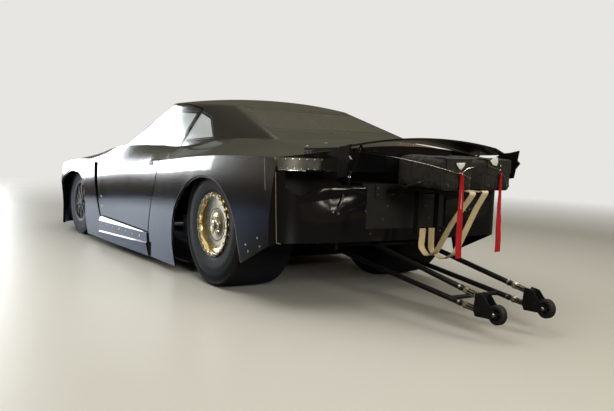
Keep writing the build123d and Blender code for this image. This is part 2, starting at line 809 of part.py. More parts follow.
# Tail
spoiler_end_x = 712.0
spoiler_rear_y = 1190.0
spoiler_front_y = 800.0
spoiler_sheet = 12.0
# Crown of the spoiler plate: station, end height, middle height
SPOILER_SECTIONS = ((spoiler_front_y, 992, 1064), (1000, 1000, 1070), (spoiler_rear_y, 1012, 1086))


def crown_strip(row, drop, thickness):
    """Thin crowned section of the spoiler plate, its top lowered by drop."""
    y, end_z, middle_z = row
    x = spoiler_end_x
    top_end, top_middle = end_z - drop, middle_z - drop
    outline = [
        ThreePointArc((-x, top_end), (0, top_middle), (x, top_end)),
        Line((x, top_end), (x, top_end - thickness)),
        ThreePointArc((x, top_end - thickness), (0, top_middle - thickness), (-x, top_end - thickness)),
        Line((-x, top_end - thickness), (-x, top_end)),
    ]
    return Plane.XZ.offset(-y) * make_face(outline)


def spoiler():
    """Rearward plate rising from the deck, with hanging end plates."""
    plate = loft([crown_strip(row, 0, spoiler_sheet) for row in SPOILER_SECTIONS])
    outline = [(-spoiler_end_x, spoiler_front_y), (spoiler_end_x, spoiler_front_y),
               (spoiler_end_x, spoiler_rear_y - 60), (560, spoiler_rear_y), (-560, spoiler_rear_y),
               (-spoiler_end_x, spoiler_rear_y - 60)]
    plate = plate & plan_prism(poly(outline), 800, 1200)
    end = [(1116, 1006), (1190, 1014), (1262, 1030), (1250, 965), (1275, 945), (1240, 905), (1228, 845),
           (1060, 815), (990, 830), (990, 900), (1016, 943), (1074, 982)]
    end_plate = side_prism(poly(end), spoiler_end_x - 12, spoiler_end_x)
    return (plate + end_plate + mirrored(end_plate)) - lower_body(-seam)


strut_foot = (475.0, 953.0, 827.0)
strut_head = (520.0, 1132.0, 1044.0)


def spoiler_struts():
    """Two stays from the bumper to the spoiler's underside."""
    x, y, z = strut_foot
    roll_y = tail_face(x) - roll_depth
    stay = rod(strut_foot, strut_head, 7)
    stay += block(x - 5, x + 5, roll_y - 12, y + 9, bumper_top - 14, z + 9)
    stay -= block(x - 20, x + 20, y - 3, y + 40, 0, bumper_top + 1)
    under = loft([crown_strip(row, spoiler_sheet - 60 + seam, 60) for row in SPOILER_SECTIONS])
    return both(stay - under - bumper_roll(roll_radius + seam))


bumper_seam_y = 880.0
tail_edge_z = 857.0
deck_half = 700.0
bumper_low = 420.0
bumper_top = 776.0
roll_radius = 34.0
roll_depth = 28.0
centre_half = 340.0
centre_low = 500.0
tail_arc_radius = 6425.0


def recess():
    """Space over the left half of the bumper, down to its rolled edge."""
    outline = [
        Line((centre_half, bumper_top - 10), (640, bumper_top)),
        Line((640, bumper_top), (730, 743)),
        ThreePointArc((730, 743), (765, 716), (803, 707)),
        ThreePointArc((803, 707), (885, 745), (937, 832)),
        Line((937, 832), (945, tail_edge_z)),
        Line((945, tail_edge_z), (centre_half, tail_edge_z)),
        Line((centre_half, tail_edge_z), (centre_half, bumper_top - 10)),
    ]
    return front_prism(outline, bumper_seam_y, 1100)


def tail_face(x):
    """Y of the tail's outer face at x."""
    return tail_reach - tail_arc_radius + (tail_arc_radius ** 2 - x ** 2) ** 0.5


def bumper_roll(radius):
    """Rolled upper edge of the bumper's left half, as thick as radius."""
    z = bumper_top - roll_radius
    inner_x = centre_half + 10
    row = [(835, 882, 628), (650, tail_face(650) - roll_depth, z - 4),
           (inner_x, tail_face(inner_x) - roll_depth, z)]
    return bent_tube(row, radius, 120)


def rear_bumper(shell):
    """Bumper cut from the tail of the shell, with its rolled upper edge."""
    region = block(-1100, 1100, bumper_seam_y, 1100, bumper_low, tail_edge_z)
    region -= block(-centre_half, centre_half, 800, 1200, centre_low, 1000)
    gap = recess()
    bumper = (shell & region) - gap - mirrored(gap)
    roll = bumper_roll(roll_radius)
    return bumper + roll + mirrored(roll)


panel_sheet = 3.0
flange_x = (110.0, 275.0)
flange_z = (692.0, 780.0)


def tail_panel():
    """Black closing panel: a back wall over the frame, a shelf and a centre plate with two flanges."""
    wall_y = rear_loop_y + cage_tube + seam
    inside = lower_body(skin + seam)
    panel = block(-1100, 1100, wall_y, wall_y + panel_sheet, 470, 1200) & inside
    sheet = inside - lower_body(skin + seam + panel_sheet)
    half = centre_half + 25
    shelf_z = bumper_top + 6
    panel += sheet & block(-half, half, 900, 1100, bumper_low + 10, shelf_z + panel_sheet)
    shelf_half = centre_half + 5
    panel += block(-shelf_half, shelf_half, wall_y, tail_reach - skin - 4, shelf_z, shelf_z + panel_sheet)
    for low, high in (flange_x, (-flange_x[1], -flange_x[0])):
        panel += block(low, high, tail_reach - skin - 7, tail_reach - skin + 5, *flange_z)
    roll = bumper_roll(roll_radius + seam)
    panel = panel - roll - mirrored(roll)
    return panel - mount_bar(pack_middle, mount_tube + seam) - mount_bar(-pack_middle, mount_tube + seam)


def seat():
    """Bucket seat of the driver."""
    x = 300.0
    low = floor_z + floor_sheet + rail_height + seam
    outline = [(-1230, low), (-740, low), (-700, 300), (-660, 900), (-720, 900), (-800, 320), (-1230, 260)]
    body = side_prism(poly(outline), x - 220, x + 220)
    side = [(-1230, low), (-740, low), (-660, 760), (-740, 760), (-860, 420), (-1230, 360)]
    body += side_prism(poly(side), x - 240, x - 215)
    body += side_prism(poly(side), x + 215, x + 240)
    return body


dash_y = -2040.0
dash_z = 790.0
firewall_y = -2300.0
column_x = 300.0
column_wheel = (-1490.0, 790.0)
column_tilt = 14.0


def steering_wheel():
    """Steering wheel with its hub."""
    y, z = column_wheel
    plane = Plane(origin=(column_x, y, z), z_dir=(0, cos(radians(column_tilt)), sin(radians(column_tilt))))
    section = Plane.XZ * Pos(140, 0, 0) * RegularPolygon(13, 8)
    ring = plane * revolve(section, Axis.Z)
    hub = plane * Cylinder(30, 30)
    spokes = plane * Box(276, 26, 6)
    return ring + hub + spokes


def steering_column():
    """Column from the dashboard to the wheel."""
    y, z = column_wheel
    dy = -cos(radians(column_tilt))
    dz = -sin(radians(column_tilt))
    start = (column_x, y + 15.3 * dy, z + 15.3 * dz)
    end = (column_x, y + 590 * dy, z + 590 * dz)
    return rod(start, end, 18) - block(200, 400, -2300, dash_y + seam, 0, 1000)


def dashboard():
    """Firewall with the dash panel."""
    low = floor_z + floor_sheet
    foot = low + rail_height + 10
    outline = [(-740, foot), (740, foot), (740, 740), (600, 835), (-600, 835), (-740, 740)]
    wall = front_prism(poly(outline), firewall_y, firewall_y + 4)
    half = post_head[0] - cage_tube - seam
    panel = block(-half, half, dash_y - 120, dash_y, 620, dash_z)
    panel += block(-half, half, firewall_y + 2, dash_y, dash_z - 8, dash_z)
    return wall + panel


def engine_block():
    """Plain engine mass."""
    low = floor_z + floor_sheet + rail_height + seam
    plate = block(-rail_x - 20, rail_x + 20, -2940, -2928, low, 560)
    return block(-250, 250, -2990, -2340, low, 740) + plate


# Parachutes
pack_x = (45.0, 285.0)
pack_y = (1175.0, 1585.0)
pack_z = (785.0, 972.0)


def chute_pack():
    """Left packed parachute as a plain rounded form."""
    body = block(*pack_x, *pack_y, *pack_z)
    body = fillet(body.edges().filter_by(Axis.Y), 40)
    ends = [e for e in body.edges() if abs(e.tangent_at(0.5).Y) < 0.1]
    return chamfer(ends, 18)


tether_radius = 9.0
tether_bar_y = 1156.4
tether_bar_z = 500.0
mount_tube = 16.0
mount_z = pack_z[0] - 40
pack_middle = (pack_x[0] + pack_x[1]) / 2


def mount_bar(x, radius):
    """Tube from the rear loop to a tray."""
    row = [(x, rear_loop_y, rear_loop_top), (x, rear_loop_y + 140, mount_z), (x, pack_y[0] - 20, mount_z)]
    return bent_tube(row, radius, 60)


def chute_mount():
    """Tubes from the rear loop to the trays under the packs, with the bar that the straps pull on."""
    top = pack_z[0] - seam
    tray_rear_y = pack_y[1] - 120
    cross_y = pack_y[0] - 40
    loop = disc(-rail_x, rail_x, rear_loop_y, rear_loop_top, cage_tube * 0.8 + seam)
    frame = disc(-pack_middle, pack_middle, cross_y, mount_z, mount_tube - 4)
    for x in (-pack_middle, pack_middle):
        frame += (mount_bar(x, mount_tube) & block(-500, 500, rear_loop_y, 1500, 0, 1200)) - loop
        frame += block(x - 90, x + 90, pack_y[0] - 60, tray_rear_y, top - 14, top)
        frame += block(x - 60, x + 60, cross_y - 20, cross_y + 20, mount_z - 20, top - 5)
    strap_low = STRAP_LEFT[0][1] - strap_sheet / 2 - seam
    frame += block(88 - pack_middle, pack_middle - 88, tray_rear_y - 70, tray_rear_y, top - 14, strap_low)
    for low in (-88, 80):
        frame += block(low, low + 8, tether_bar_y - 20, tether_bar_y + 20, tether_bar_z - 18, mount_z + 10)
    return frame + disc(-88, 88, tether_bar_y, tether_bar_z, tether_radius)


# Tether straps: middle line as (y, z) from the pack to the bar, and the bend at each corner
strap_width = 50.0
strap_sheet = 6.0
STRAP_LEFT = ((1420, 781.7), (1590, 781.7), (1421, 578), (1300, 385), (1225, 350), (1163, 400), (1170, 520))
STRAP_LEFT_BENDS = (12, 300, 60, 45, 40)
STRAP_RIGHT = ((1420, 781.7), (1575, 781.7), (1618, 800), (1535, 672), (1385, 385), (1290, 338), (1175, 372),
               (1168.7, 520))
STRAP_RIGHT_BENDS = (60, 9, 300, 70, 60, 45)


def strap(x, points, bends):
    """Flat strap that hangs in the plane of one x value."""
    path = FilletPolyline(*[(x, y, z) for y, z in points], radius=bends)
    face = Plane(origin=path @ 0, x_dir=(1, 0, 0), z_dir=path % 0) * Rectangle(strap_width, strap_sheet)
    return sweep(face, path=path)


def tether_straps():
    """The two webbing straps between the packs and the tether bar."""
    left = strap(36, STRAP_LEFT, STRAP_LEFT_BENDS)
    right = strap(-40, STRAP_RIGHT, STRAP_RIGHT_BENDS)
    return Compound(children=[left, right])


pin_radius = 4.0
pin_z = 890.0
pin_end_y = 1608.0
# Red ribbons: middle, pin, lower end
RIBBONS = ((157.0, 160.0, 400.0), (-172.0, -160.0, 424.0))
ribbon_width = 42.0


def pack_pins():
    """Release pins in the rear faces of the packs."""
    return both(rod((160, pack_y[1] + seam, pin_z), (160, pin_end_y, pin_z), pin_radius))


def safety_ribbons():
    """Flat ribbons that hang from the pins."""
    pieces = []
    for x, pin_x, low in RIBBONS:
        ribbon = block(x - ribbon_width / 2, x + ribbon_width / 2, 1600, 1604, low, pin_z + 14)
        pieces.append(ribbon - rod((pin_x, 1500, pin_z), (pin_x, 1700, pin_z), pin_radius + seam))
    return Compound(children=pieces)


def write(node, solid):
    """Move a piece into the car's frame and write it."""
    export_step(Pos(0, origin_shift, 0) * solid, f"parts/{node}.step")


def build():
    """Make and write every piece."""
    os.makedirs("parts", exist_ok=True)
    car = Car()
    write("front_clip", car.front_clip())
    shell = car.main_shell()
    write("roof_shell", shell & car.top)
    rest = shell - car.top
    write("cowl", (rest & block(-1100, 1100, -2600, -1500, 700, 1300)) - Pos(0, seam, 0) * fender_region())
    write("rear_bumper", rear_bumper(rest))
    rest = rest & block(-1100, 1100, -1500, 1300, -100, 1500)
    lips = both(car.arch_lip(rear_arch) & block(0, 1100, -1500, 1300, sill_top_rear, 1500))
    rest = rest - block(-1100, 1100, bumper_seam_y - seam, 1100, 0, tail_edge_z + seam) + lips
    left = rest & block(deck_half, 1100, -1500, 1300, -100, 1500)
    write("quarter_left", left)
    write("quarter_right", mirrored(left))
    write("tail_deck", rest & block(-deck_half, deck_half, 0, 1300, 500, 1500))
    write("sills", both(sill()))
    write("windscreen", car.glazing & screen(windscreen_side, 0, -2750, -1300))
    write("rear_window", car.glazing & screen(rear_screen_side, 0, -700, 700))
    glass = car.glazing & side_window(rear_side_glass, 0)
    write("quarter_glass", both(glass))
    door = car.door()
    write("door_left", door)
    write("door_right", mirrored(door))
    glass = car.door_glass()
    write("door_glass_left", glass)
    write("door_glass_right", mirrored(glass))
    write("spoiler", spoiler())
    write("spoiler_struts", spoiler_struts())
    write("floor_pan", floor_pan())
    write("door_hinges", door_hinges())
    write("frame_rails", frame_rails())
    write("main_hoop", main_hoop())
    write("roof_bars", roof_bars())
    write("cage_braces", cage_braces())
    write("dashboard", dashboard())
    write("seat", seat())
    write("engine_block", engine_block())
    write("steering_column", steering_column())
    write("steering_wheel", steering_wheel())
    write("axle_housing", axle_housing())
    write("rear_links", rear_links())
    write("rear_tubs", rear_tubs())
    write("front_struts", front_struts())
    write("front_arms", front_arms())
    write("steering_rack", steering_rack())
    write("rack_bar", rack_bar())
    write("wheelie_bar", wheelie_bar())
    write("chute_mount", chute_mount())
    write("chute_packs", both(chute_pack()))
    write("tail_panel", tail_panel())
    write("tether_straps", tether_straps())
    write("pack_pins", pack_pins())
    write("safety_ribbons", safety_ribbons())
    for name, make in (("slick", rear_slick), ("rear_wheel", rear_wheel), ("front_tyre", front_tyre),
                       ("front_wheel", front_wheel), ("knuckle", knuckle), ("bar_wheel", bar_wheel)):
        piece = make()
        write(f"{name}_left", piece)
        write(f"{name}_right", mirrored(piece))


build()
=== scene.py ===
import json
from math import atan2, cos, hypot, pi, radians, sin

import bmesh
import bpy
from mathutils import Matrix, Vector, noise

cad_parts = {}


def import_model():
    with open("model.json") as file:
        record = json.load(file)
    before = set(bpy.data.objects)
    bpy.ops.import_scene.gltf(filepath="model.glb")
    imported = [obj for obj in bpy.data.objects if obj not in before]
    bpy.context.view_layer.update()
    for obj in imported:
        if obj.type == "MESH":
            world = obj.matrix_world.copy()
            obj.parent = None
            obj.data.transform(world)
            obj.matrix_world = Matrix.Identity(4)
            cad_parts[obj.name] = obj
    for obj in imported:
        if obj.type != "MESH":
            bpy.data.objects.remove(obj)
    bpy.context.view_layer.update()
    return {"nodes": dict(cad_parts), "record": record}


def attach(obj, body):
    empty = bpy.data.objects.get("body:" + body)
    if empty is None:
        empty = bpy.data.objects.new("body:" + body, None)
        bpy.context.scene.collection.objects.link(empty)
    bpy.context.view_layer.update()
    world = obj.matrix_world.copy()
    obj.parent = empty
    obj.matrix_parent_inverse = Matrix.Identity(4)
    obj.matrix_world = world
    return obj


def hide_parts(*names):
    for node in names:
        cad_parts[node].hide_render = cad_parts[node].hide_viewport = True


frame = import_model()

# Places shared by the pieces, in metres: X to the car's left, Y rearwards, Z up
rear_axle_y = 0.8845
front_axle_y = rear_axle_y - 2.920
slick_radius = 0.430
slick_half = 0.215
slick_centre_x = 0.698
slick_bore = 0.203
front_radius = 0.330
front_half = 0.057
front_centre_x = 0.805
front_bore = 0.190
bar_wheel_y = rear_axle_y + 1.969
bar_wheel_z = 0.151
bar_x = 0.200
both_sides = ((1, "left"), (-1, "right"))

camera_place = Vector((3.431, 5.7095, 1.057))
camera_yaw = 0.601
camera_pitch = 0.086
camera_roll = 0.044
focal_pixels = 789.2
image_size = (614, 411)


# Shader values as plain expressions
class Flow:
    """A value in a material's nodes that adds, multiplies and compares as a number does."""

    def __init__(self, paint, socket):
        self.paint = paint
        self.socket = socket

    def math(self, operation, *others, clamp=False):
        """One Math node on this value."""
        values = dict(enumerate((self,) + others))
        node = self.paint.node("ShaderNodeMath", {"operation": operation, "use_clamp": clamp}, values)
        return Flow(self.paint, node.outputs[0])

    def __add__(self, other):
        return self.math("ADD", other)

    __radd__ = __add__

    def __sub__(self, other):
        return self.math("SUBTRACT", other)

    def __rsub__(self, other):
        return self.math("MULTIPLY_ADD", -1.0, other)

    def __mul__(self, other):
        return self.math("MULTIPLY", other)

    __rmul__ = __mul__

    def __truediv__(self, other):
        return self.math("DIVIDE", other)

    def __pow__(self, other):
        return self.math("POWER", other)

    def clamped(self):
        """Held between 0 and 1."""
        return self.math("ADD", 0.0, clamp=True)

    def wave(self):
        """Sine of the value."""
        return self.math("SINE")

    def ramp(self, low, high):
        """0 at low to 1 at high."""
        return ((self - low) / (high - low)).clamped()


class Tree:
    """The nodes of a material or of the surroundings."""

    def __init__(self, tree):
        self.tree = tree

    def node(self, kind, settings=None, values=None):
        """Adds a node, its settings first, then numbers or links on its sockets."""
        node = self.tree.nodes.new(kind)
        for name, value in (settings or {}).items():
            setattr(node, name, value)
        for key, value in (values or {}).items():
            self.put(node.inputs[key], value)
        return node

    def put(self, socket, value):
        """Links a flow to a socket, or sets its number or colour."""
        if isinstance(value, Flow):
            self.tree.links.new(value.socket, socket)
        elif socket.type == "RGBA":
            socket.default_value = (*value[:3], 1.0)
        else:
            socket.default_value = value

    def flow(self, node, output=0):
        """One output of a node."""
        return Flow(self, node.outputs[output])

    def place(self):
        """Position on the object, in metres."""
        return self.flow(self.node("ShaderNodeTexCoord"), 3)

    def scaled(self, x, y, z):
        """Position stretched along each axis."""
        return self.flow(self.node("ShaderNodeMapping", None, {"Vector": self.place(), "Scale": (x, y, z)}))

    def noise(self, scale, detail=3.0, roughness=0.5, at=None):
        """Grey noise from 0 to 1."""
        values = {"Vector": at or self.place(), "Scale": scale, "Detail": detail, "Roughness": roughness}
        return self.flow(self.node("ShaderNodeTexNoise", None, values))

    def cells(self, scale, at=None):
        """Distance to scattered points."""
        inputs = {"Vector": at or self.place(), "Scale": scale}
        return self.flow(self.node("ShaderNodeTexVoronoi", None, inputs))

    def mix(self, factor, low, high):
        """Colour between two."""
        return self.flow(self.node("ShaderNodeMix", {"data_type": "RGBA"}, {0: factor, 6: low, 7: high}), 2)

    def axis(self, which, vector=None):
        """One coordinate of a vector."""
        parts = self.node("ShaderNodeSeparateXYZ", None, {0: vector or self.place()})
        return self.flow(parts, "XYZ".index(which))


class Paint(Tree):
    """One material with a Principled surface."""

    def __init__(self, name, colour, roughness, metallic=0.0, **fixed):
        self.material = bpy.data.materials.new(name)
        self.material.use_nodes = True
        self.surface = self.material.node_tree.nodes["Principled BSDF"]
        super().__init__(self.material.node_tree)
        self.set("Base Color", colour)
        self.set("Roughness", roughness)
        self.set("Metallic", metallic)
        for key, value in fixed.items():
            self.set(key.replace("_", " ").title().replace("Ior", "IOR"), value)

    def set(self, key, value):
        """Sets or links one socket of the surface."""
        self.put(self.surface.inputs[key], value)

    def tint(self, factor, low, high):
        """Base colour that varies between two."""
        self.set("Base Color", self.mix(factor, low, high))

    def bump(self, height, strength, distance):
        """Raises the surface by a height map."""
        inputs = {"Height": height, "Strength": strength, "Distance": distance}
        node = self.node("ShaderNodeBump", None, inputs)
        self.set("Normal", self.flow(node))


bumper_swell = {"foot": 0.605, "fall": 0.135, "height": 0.165, "inner": (0.335, 0.345), "outer": (0.60, 0.84),
                "strength": 1.6}


def gloss_black(name="gloss_black", swell=False):
    """Black paint with orange peel, haze and dust on what faces up; swell rounds the bumper's upper face."""
    paint = Paint(name, (0.006, 0.006, 0.007), 0.16, coat_weight=0.5, coat_roughness=0.03)
    dust = paint.noise(5.0, 6.0, 0.6)
    fine = paint.noise(90.0, 2.0)
    up = paint.axis("Z", paint.flow(paint.node("ShaderNodeNewGeometry"), 1)).ramp(0.5, 1.0)
    grime = (dust * up * 0.9).clamped()
    paint.tint(grime, (0.005, 0.005, 0.006), (0.030, 0.028, 0.022))
    paint.set("Roughness", dust * 0.1 + fine * 0.04 + 0.09)
    peel = paint.noise(300.0, 1.0) * 0.000012
    if swell:
        across = paint.axis("X").math("ABSOLUTE")
        foot = bumper_swell["foot"] - across * bumper_swell["fall"]
        above = (paint.axis("Z") - foot).math("MAXIMUM", 0.0).math("MINIMUM", bumper_swell["height"])
        ends = across.ramp(*bumper_swell["inner"]) * (1.0 - across.ramp(*bumper_swell["outer"]))
        peel = peel - above * above * ends * bumper_swell["strength"]
    paint.bump(peel, 1.0, 1.0)
    return paint


def clear_panel():
    """Smoked clear sheet with a pale shine and a fine haze."""
    paint = Paint("clear_panel", (0.05, 0.048, 0.04), 0.06, coat_weight=1.0, coat_roughness=0.03, alpha=0.72)
    paint.set("Roughness", paint.noise(18.0, 5.0) * 0.12 + 0.03)
    return paint


def satin_black():
    """Powder-coated tube with rubbed spots."""
    paint = Paint("satin_black", (0.012, 0.012, 0.012), 0.35)
    worn = paint.noise(22.0, 5.0, 0.6).ramp(0.62, 0.75)
    paint.tint(worn, (0.008, 0.008, 0.009), (0.035, 0.034, 0.032))
    paint.set("Roughness", paint.noise(40.0) * 0.2 + 0.25)
    paint.bump(paint.noise(700.0), 0.1, 0.0003)
    return paint


def machined():
    """Turned aluminium with fine rings and warm stains."""
    paint = Paint("machined", (0.72, 0.69, 0.6), 0.28, 1.0)
    stain = paint.noise(14.0, 5.0)
    paint.tint(stain, (0.66, 0.54, 0.30), (0.94, 0.83, 0.56))
    paint.set("Roughness", paint.noise(45.0) * 0.18 + 0.12)
    paint.bump(paint.noise(900.0, 1.0), 0.06, 0.0002)
    return paint


def steel():
    """Bright plated steel of bolts, wires and rod ends."""
    paint = Paint("steel", (0.78, 0.76, 0.72), 0.2, 1.0)
    paint.set("Roughness", paint.noise(120.0) * 0.25 + 0.12)
    return paint


def gunmetal_and_shade():
    """Dark steel of fasteners and rod ends; laid on the front wheels and front suspension, it is painted
    shade.
    """
    paint = Paint("gunmetal_and_shade", (0.16, 0.155, 0.145), 0.35, 0.9)
    paint.set("Roughness", paint.noise(150.0) * 0.25 + 0.28)
    return paint


def glass_painted_reflection():
    """Side window sheet, its pale silvery colour a painted reflection, faintly streaked."""
    paint = Paint("glass_painted_reflection", (0.62, 0.68, 0.72), 0.12, coat_weight=0.6, coat_roughness=0.05, alpha=0.86)
    streak = paint.noise(5.0, 5.0, 0.6, paint.scaled(1.0, 0.6, 2.0))
    paint.tint(streak, (0.52, 0.60, 0.64), (0.80, 0.85, 0.86))
    paint.set("Roughness", streak * 0.2 + 0.08)
    return paint


def dull_sheet():
    """Dark inner sheet with scuffs."""
    paint = Paint("dull_sheet", (0.02, 0.02, 0.021), 0.5)
    scuff = paint.noise(9.0, 6.0, 0.7)
    paint.tint(scuff, (0.006, 0.006, 0.007), (0.03, 0.029, 0.027))
    paint.set("Roughness", scuff * 0.2 + 0.4)
    return paint


def rubber(name="rubber", pale=0.024):
    """Tyre rubber with a dusty bloom and fine radial marks; pale sets the bloom's lightest tone, set low on
    the front tyres as painted shade.
    """
    paint = Paint(name, (0.016, 0.016, 0.018), 0.6)
    bloom = paint.noise(8.0, 6.0, 0.6)
    marks = paint.noise(60.0, 3.0, 0.6, paint.scaled(6.0, 1.0, 1.0))
    paint.tint(bloom * 0.7 + marks * 0.3, (0.003, 0.003, 0.004), (pale, pale, pale * 1.15))
    paint.set("Roughness", bloom * 0.25 + 0.48)
    paint.bump(marks + paint.noise(500.0) * 0.5, 0.25, 0.0006)
    return paint


def black_plastic():
    """Moulded black plastic with a fine grain."""
    paint = Paint("black_plastic", (0.014, 0.014, 0.014), 0.4)
    paint.set("Roughness", paint.noise(80.0) * 0.2 + 0.3)
    paint.bump(paint.cells(900.0), 0.15, 0.0003)
    return paint


def weave(warp, weft):
    """Height of a woven cloth from its threads across and along."""
    return warp.wave() * 0.5 + weft.wave() * 0.5


def black_fabric():
    """Heavy woven pack cloth, olive black and faded on top."""
    paint = Paint("black_fabric", (0.01, 0.01, 0.008), 0.85, sheen_weight=0.06, sheen_roughness=0.5)
    fade = paint.noise(7.0, 6.0, 0.65)
    threads = weave(paint.axis("X") * 2400.0, paint.axis("Y") * 2400.0 + paint.axis("Z") * 2400.0)
    paint.tint(fade + threads * 0.1, (0.004, 0.004, 0.003), (0.017, 0.015, 0.010))
    paint.set("Roughness", fade * 0.2 + 0.72)
    paint.bump(threads + paint.noise(30.0, 4.0) * 2.0, 0.35, 0.0015)
    return paint


def webbing():
    """Cream nylon webbing with a ribbed weave and handling marks."""
    paint = Paint("webbing", (0.62, 0.52, 0.36), 0.75, sheen_weight=0.2)
    soil = paint.noise(11.0, 6.0, 0.65)
    ribs = weave(paint.axis("X") * 1500.0, (paint.axis("Y") + paint.axis("Z")) * 2600.0)
    paint.tint(soil, (0.70, 0.54, 0.29), (0.98, 0.84, 0.54))
    paint.set("Roughness", soil * 0.15 + 0.68)
    paint.bump(ribs, 0.5, 0.0008)
    return paint


def red_fabric():
    """Red ribbon cloth with vertical folds and a fine weave."""
    paint = Paint("red_fabric", (0.45, 0.012, 0.015), 0.75)
    fade = paint.noise(16.0, 5.0, 0.6, paint.scaled(3.0, 3.0, 0.5))
    threads = weave(paint.axis("X") * 2600.0, paint.axis("Z") * 2600.0)
    paint.tint(fade, (0.26, 0.001, 0.004), (0.60, 0.003, 0.010))
    paint.set("Roughness", fade * 0.15 + 0.68)
    paint.bump(threads, 0.3, 0.0006)
    return paint


def white_cloth():
    """White tag cloth."""
    paint = Paint("white_cloth", (0.8, 0.79, 0.76), 0.7)
    paint.tint(paint.noise(40.0, 4.0), (0.62, 0.61, 0.58), (0.86, 0.85, 0.82))
    return paint


def bare_plate():
    """Brushed light plate, scratched along its length."""
    paint = Paint("bare_plate", (0.5, 0.49, 0.45), 0.4, 0.7)
    brush = paint.noise(30.0, 4.0, 0.6, paint.scaled(1.0, 1.0, 12.0))
    paint.tint(brush, (0.10, 0.10, 0.09), (0.24, 0.235, 0.21))
    paint.set("Roughness", brush * 0.25 + 0.28)
    return paint


def raw_edge_and_highlight():
    """Light brown edge colour: partly the raw edge of the moulding where shut lines are worn, partly a
    painted highlight along the edges.
    """
    paint = Paint("raw_edge_and_highlight", (0.3, 0.22, 0.12), 0.6)
    paint.tint(paint.noise(60.0, 4.0), (0.10, 0.08, 0.05), (0.52, 0.42, 0.28))
    return paint


paints = {
    "body_black": gloss_black(),
    "clear_panel": clear_panel(),
    "frame_black": satin_black(),
    "bare_metal": machined(),
    "inner_panel": dull_sheet(),
    "tyre": rubber(),
    "black_plastic": black_plastic(),
    "black_fabric": black_fabric(),
    "webbing": webbing(),
    "red_fabric": red_fabric(),
}
steel_paint = steel()
plate_paint = bare_plate()
edge_and_highlight_paint = raw_edge_and_highlight()
white_paint = white_cloth()
dark_steel_and_shade_paint = gunmetal_and_shade()
# Front tyres: the same rubber made darker as painted shade, since they sit in shadow
painted_shade_tyre_paint = rubber("shaded_front_rubber", 0.009)
reflection_glass_paint = glass_painted_reflection()

for subpart in frame["record"]["subparts"]:
    mesh = frame["nodes"][subpart["node"]].data
    mesh.materials.clear()
    mesh.materials.append(paints[subpart["material_slot"]].material)
frame["nodes"]["rear_bumper"].data.materials[0] = gloss_black("bumper_black", swell=True).material
# Front struts, rack, knuckles and front wheels take the dark steel as painted shade, since they sit in shadow
for name in ("front_struts", "steering_rack", "rack_bar", "knuckle_left", "knuckle_right", "front_wheel_left",
             "front_wheel_right"):
    frame["nodes"][name].data.materials[0] = dark_steel_and_shade_paint.material
# Door and quarter glass take the pale painted reflection
for name in ("door_glass_left", "door_glass_right", "quarter_glass"):
    frame["nodes"][name].data.materials[0] = reflection_glass_paint.material


# Building of meshes
def placed(name, data):
    """New object in the scene."""
    obj = bpy.data.objects.new(name, data)
    bpy.context.scene.collection.objects.link(obj)
    return obj


def turns(count, start=0.0):
    """Angles evenly round a circle."""
    return [2 * pi * i / count + start for i in range(count)]


def round_points(middle, side, other, radius, count):
    """Points round a circle that two unit vectors span."""
    return [middle + (side * cos(a) + other * sin(a)) * radius for a in turns(count)]


def frame_of(axis):
    """An axis made a unit vector, and two unit vectors square to it."""
    axis = Vector(axis).normalized()
    side = axis.orthogonal().normalized()
    return axis, side, axis.cross(side)


def run_at(points, i):
    """Direction of a line of points at one of them."""
    return (points[min(i + 1, len(points) - 1)] - points[max(i - 1, 0)]).normalized()


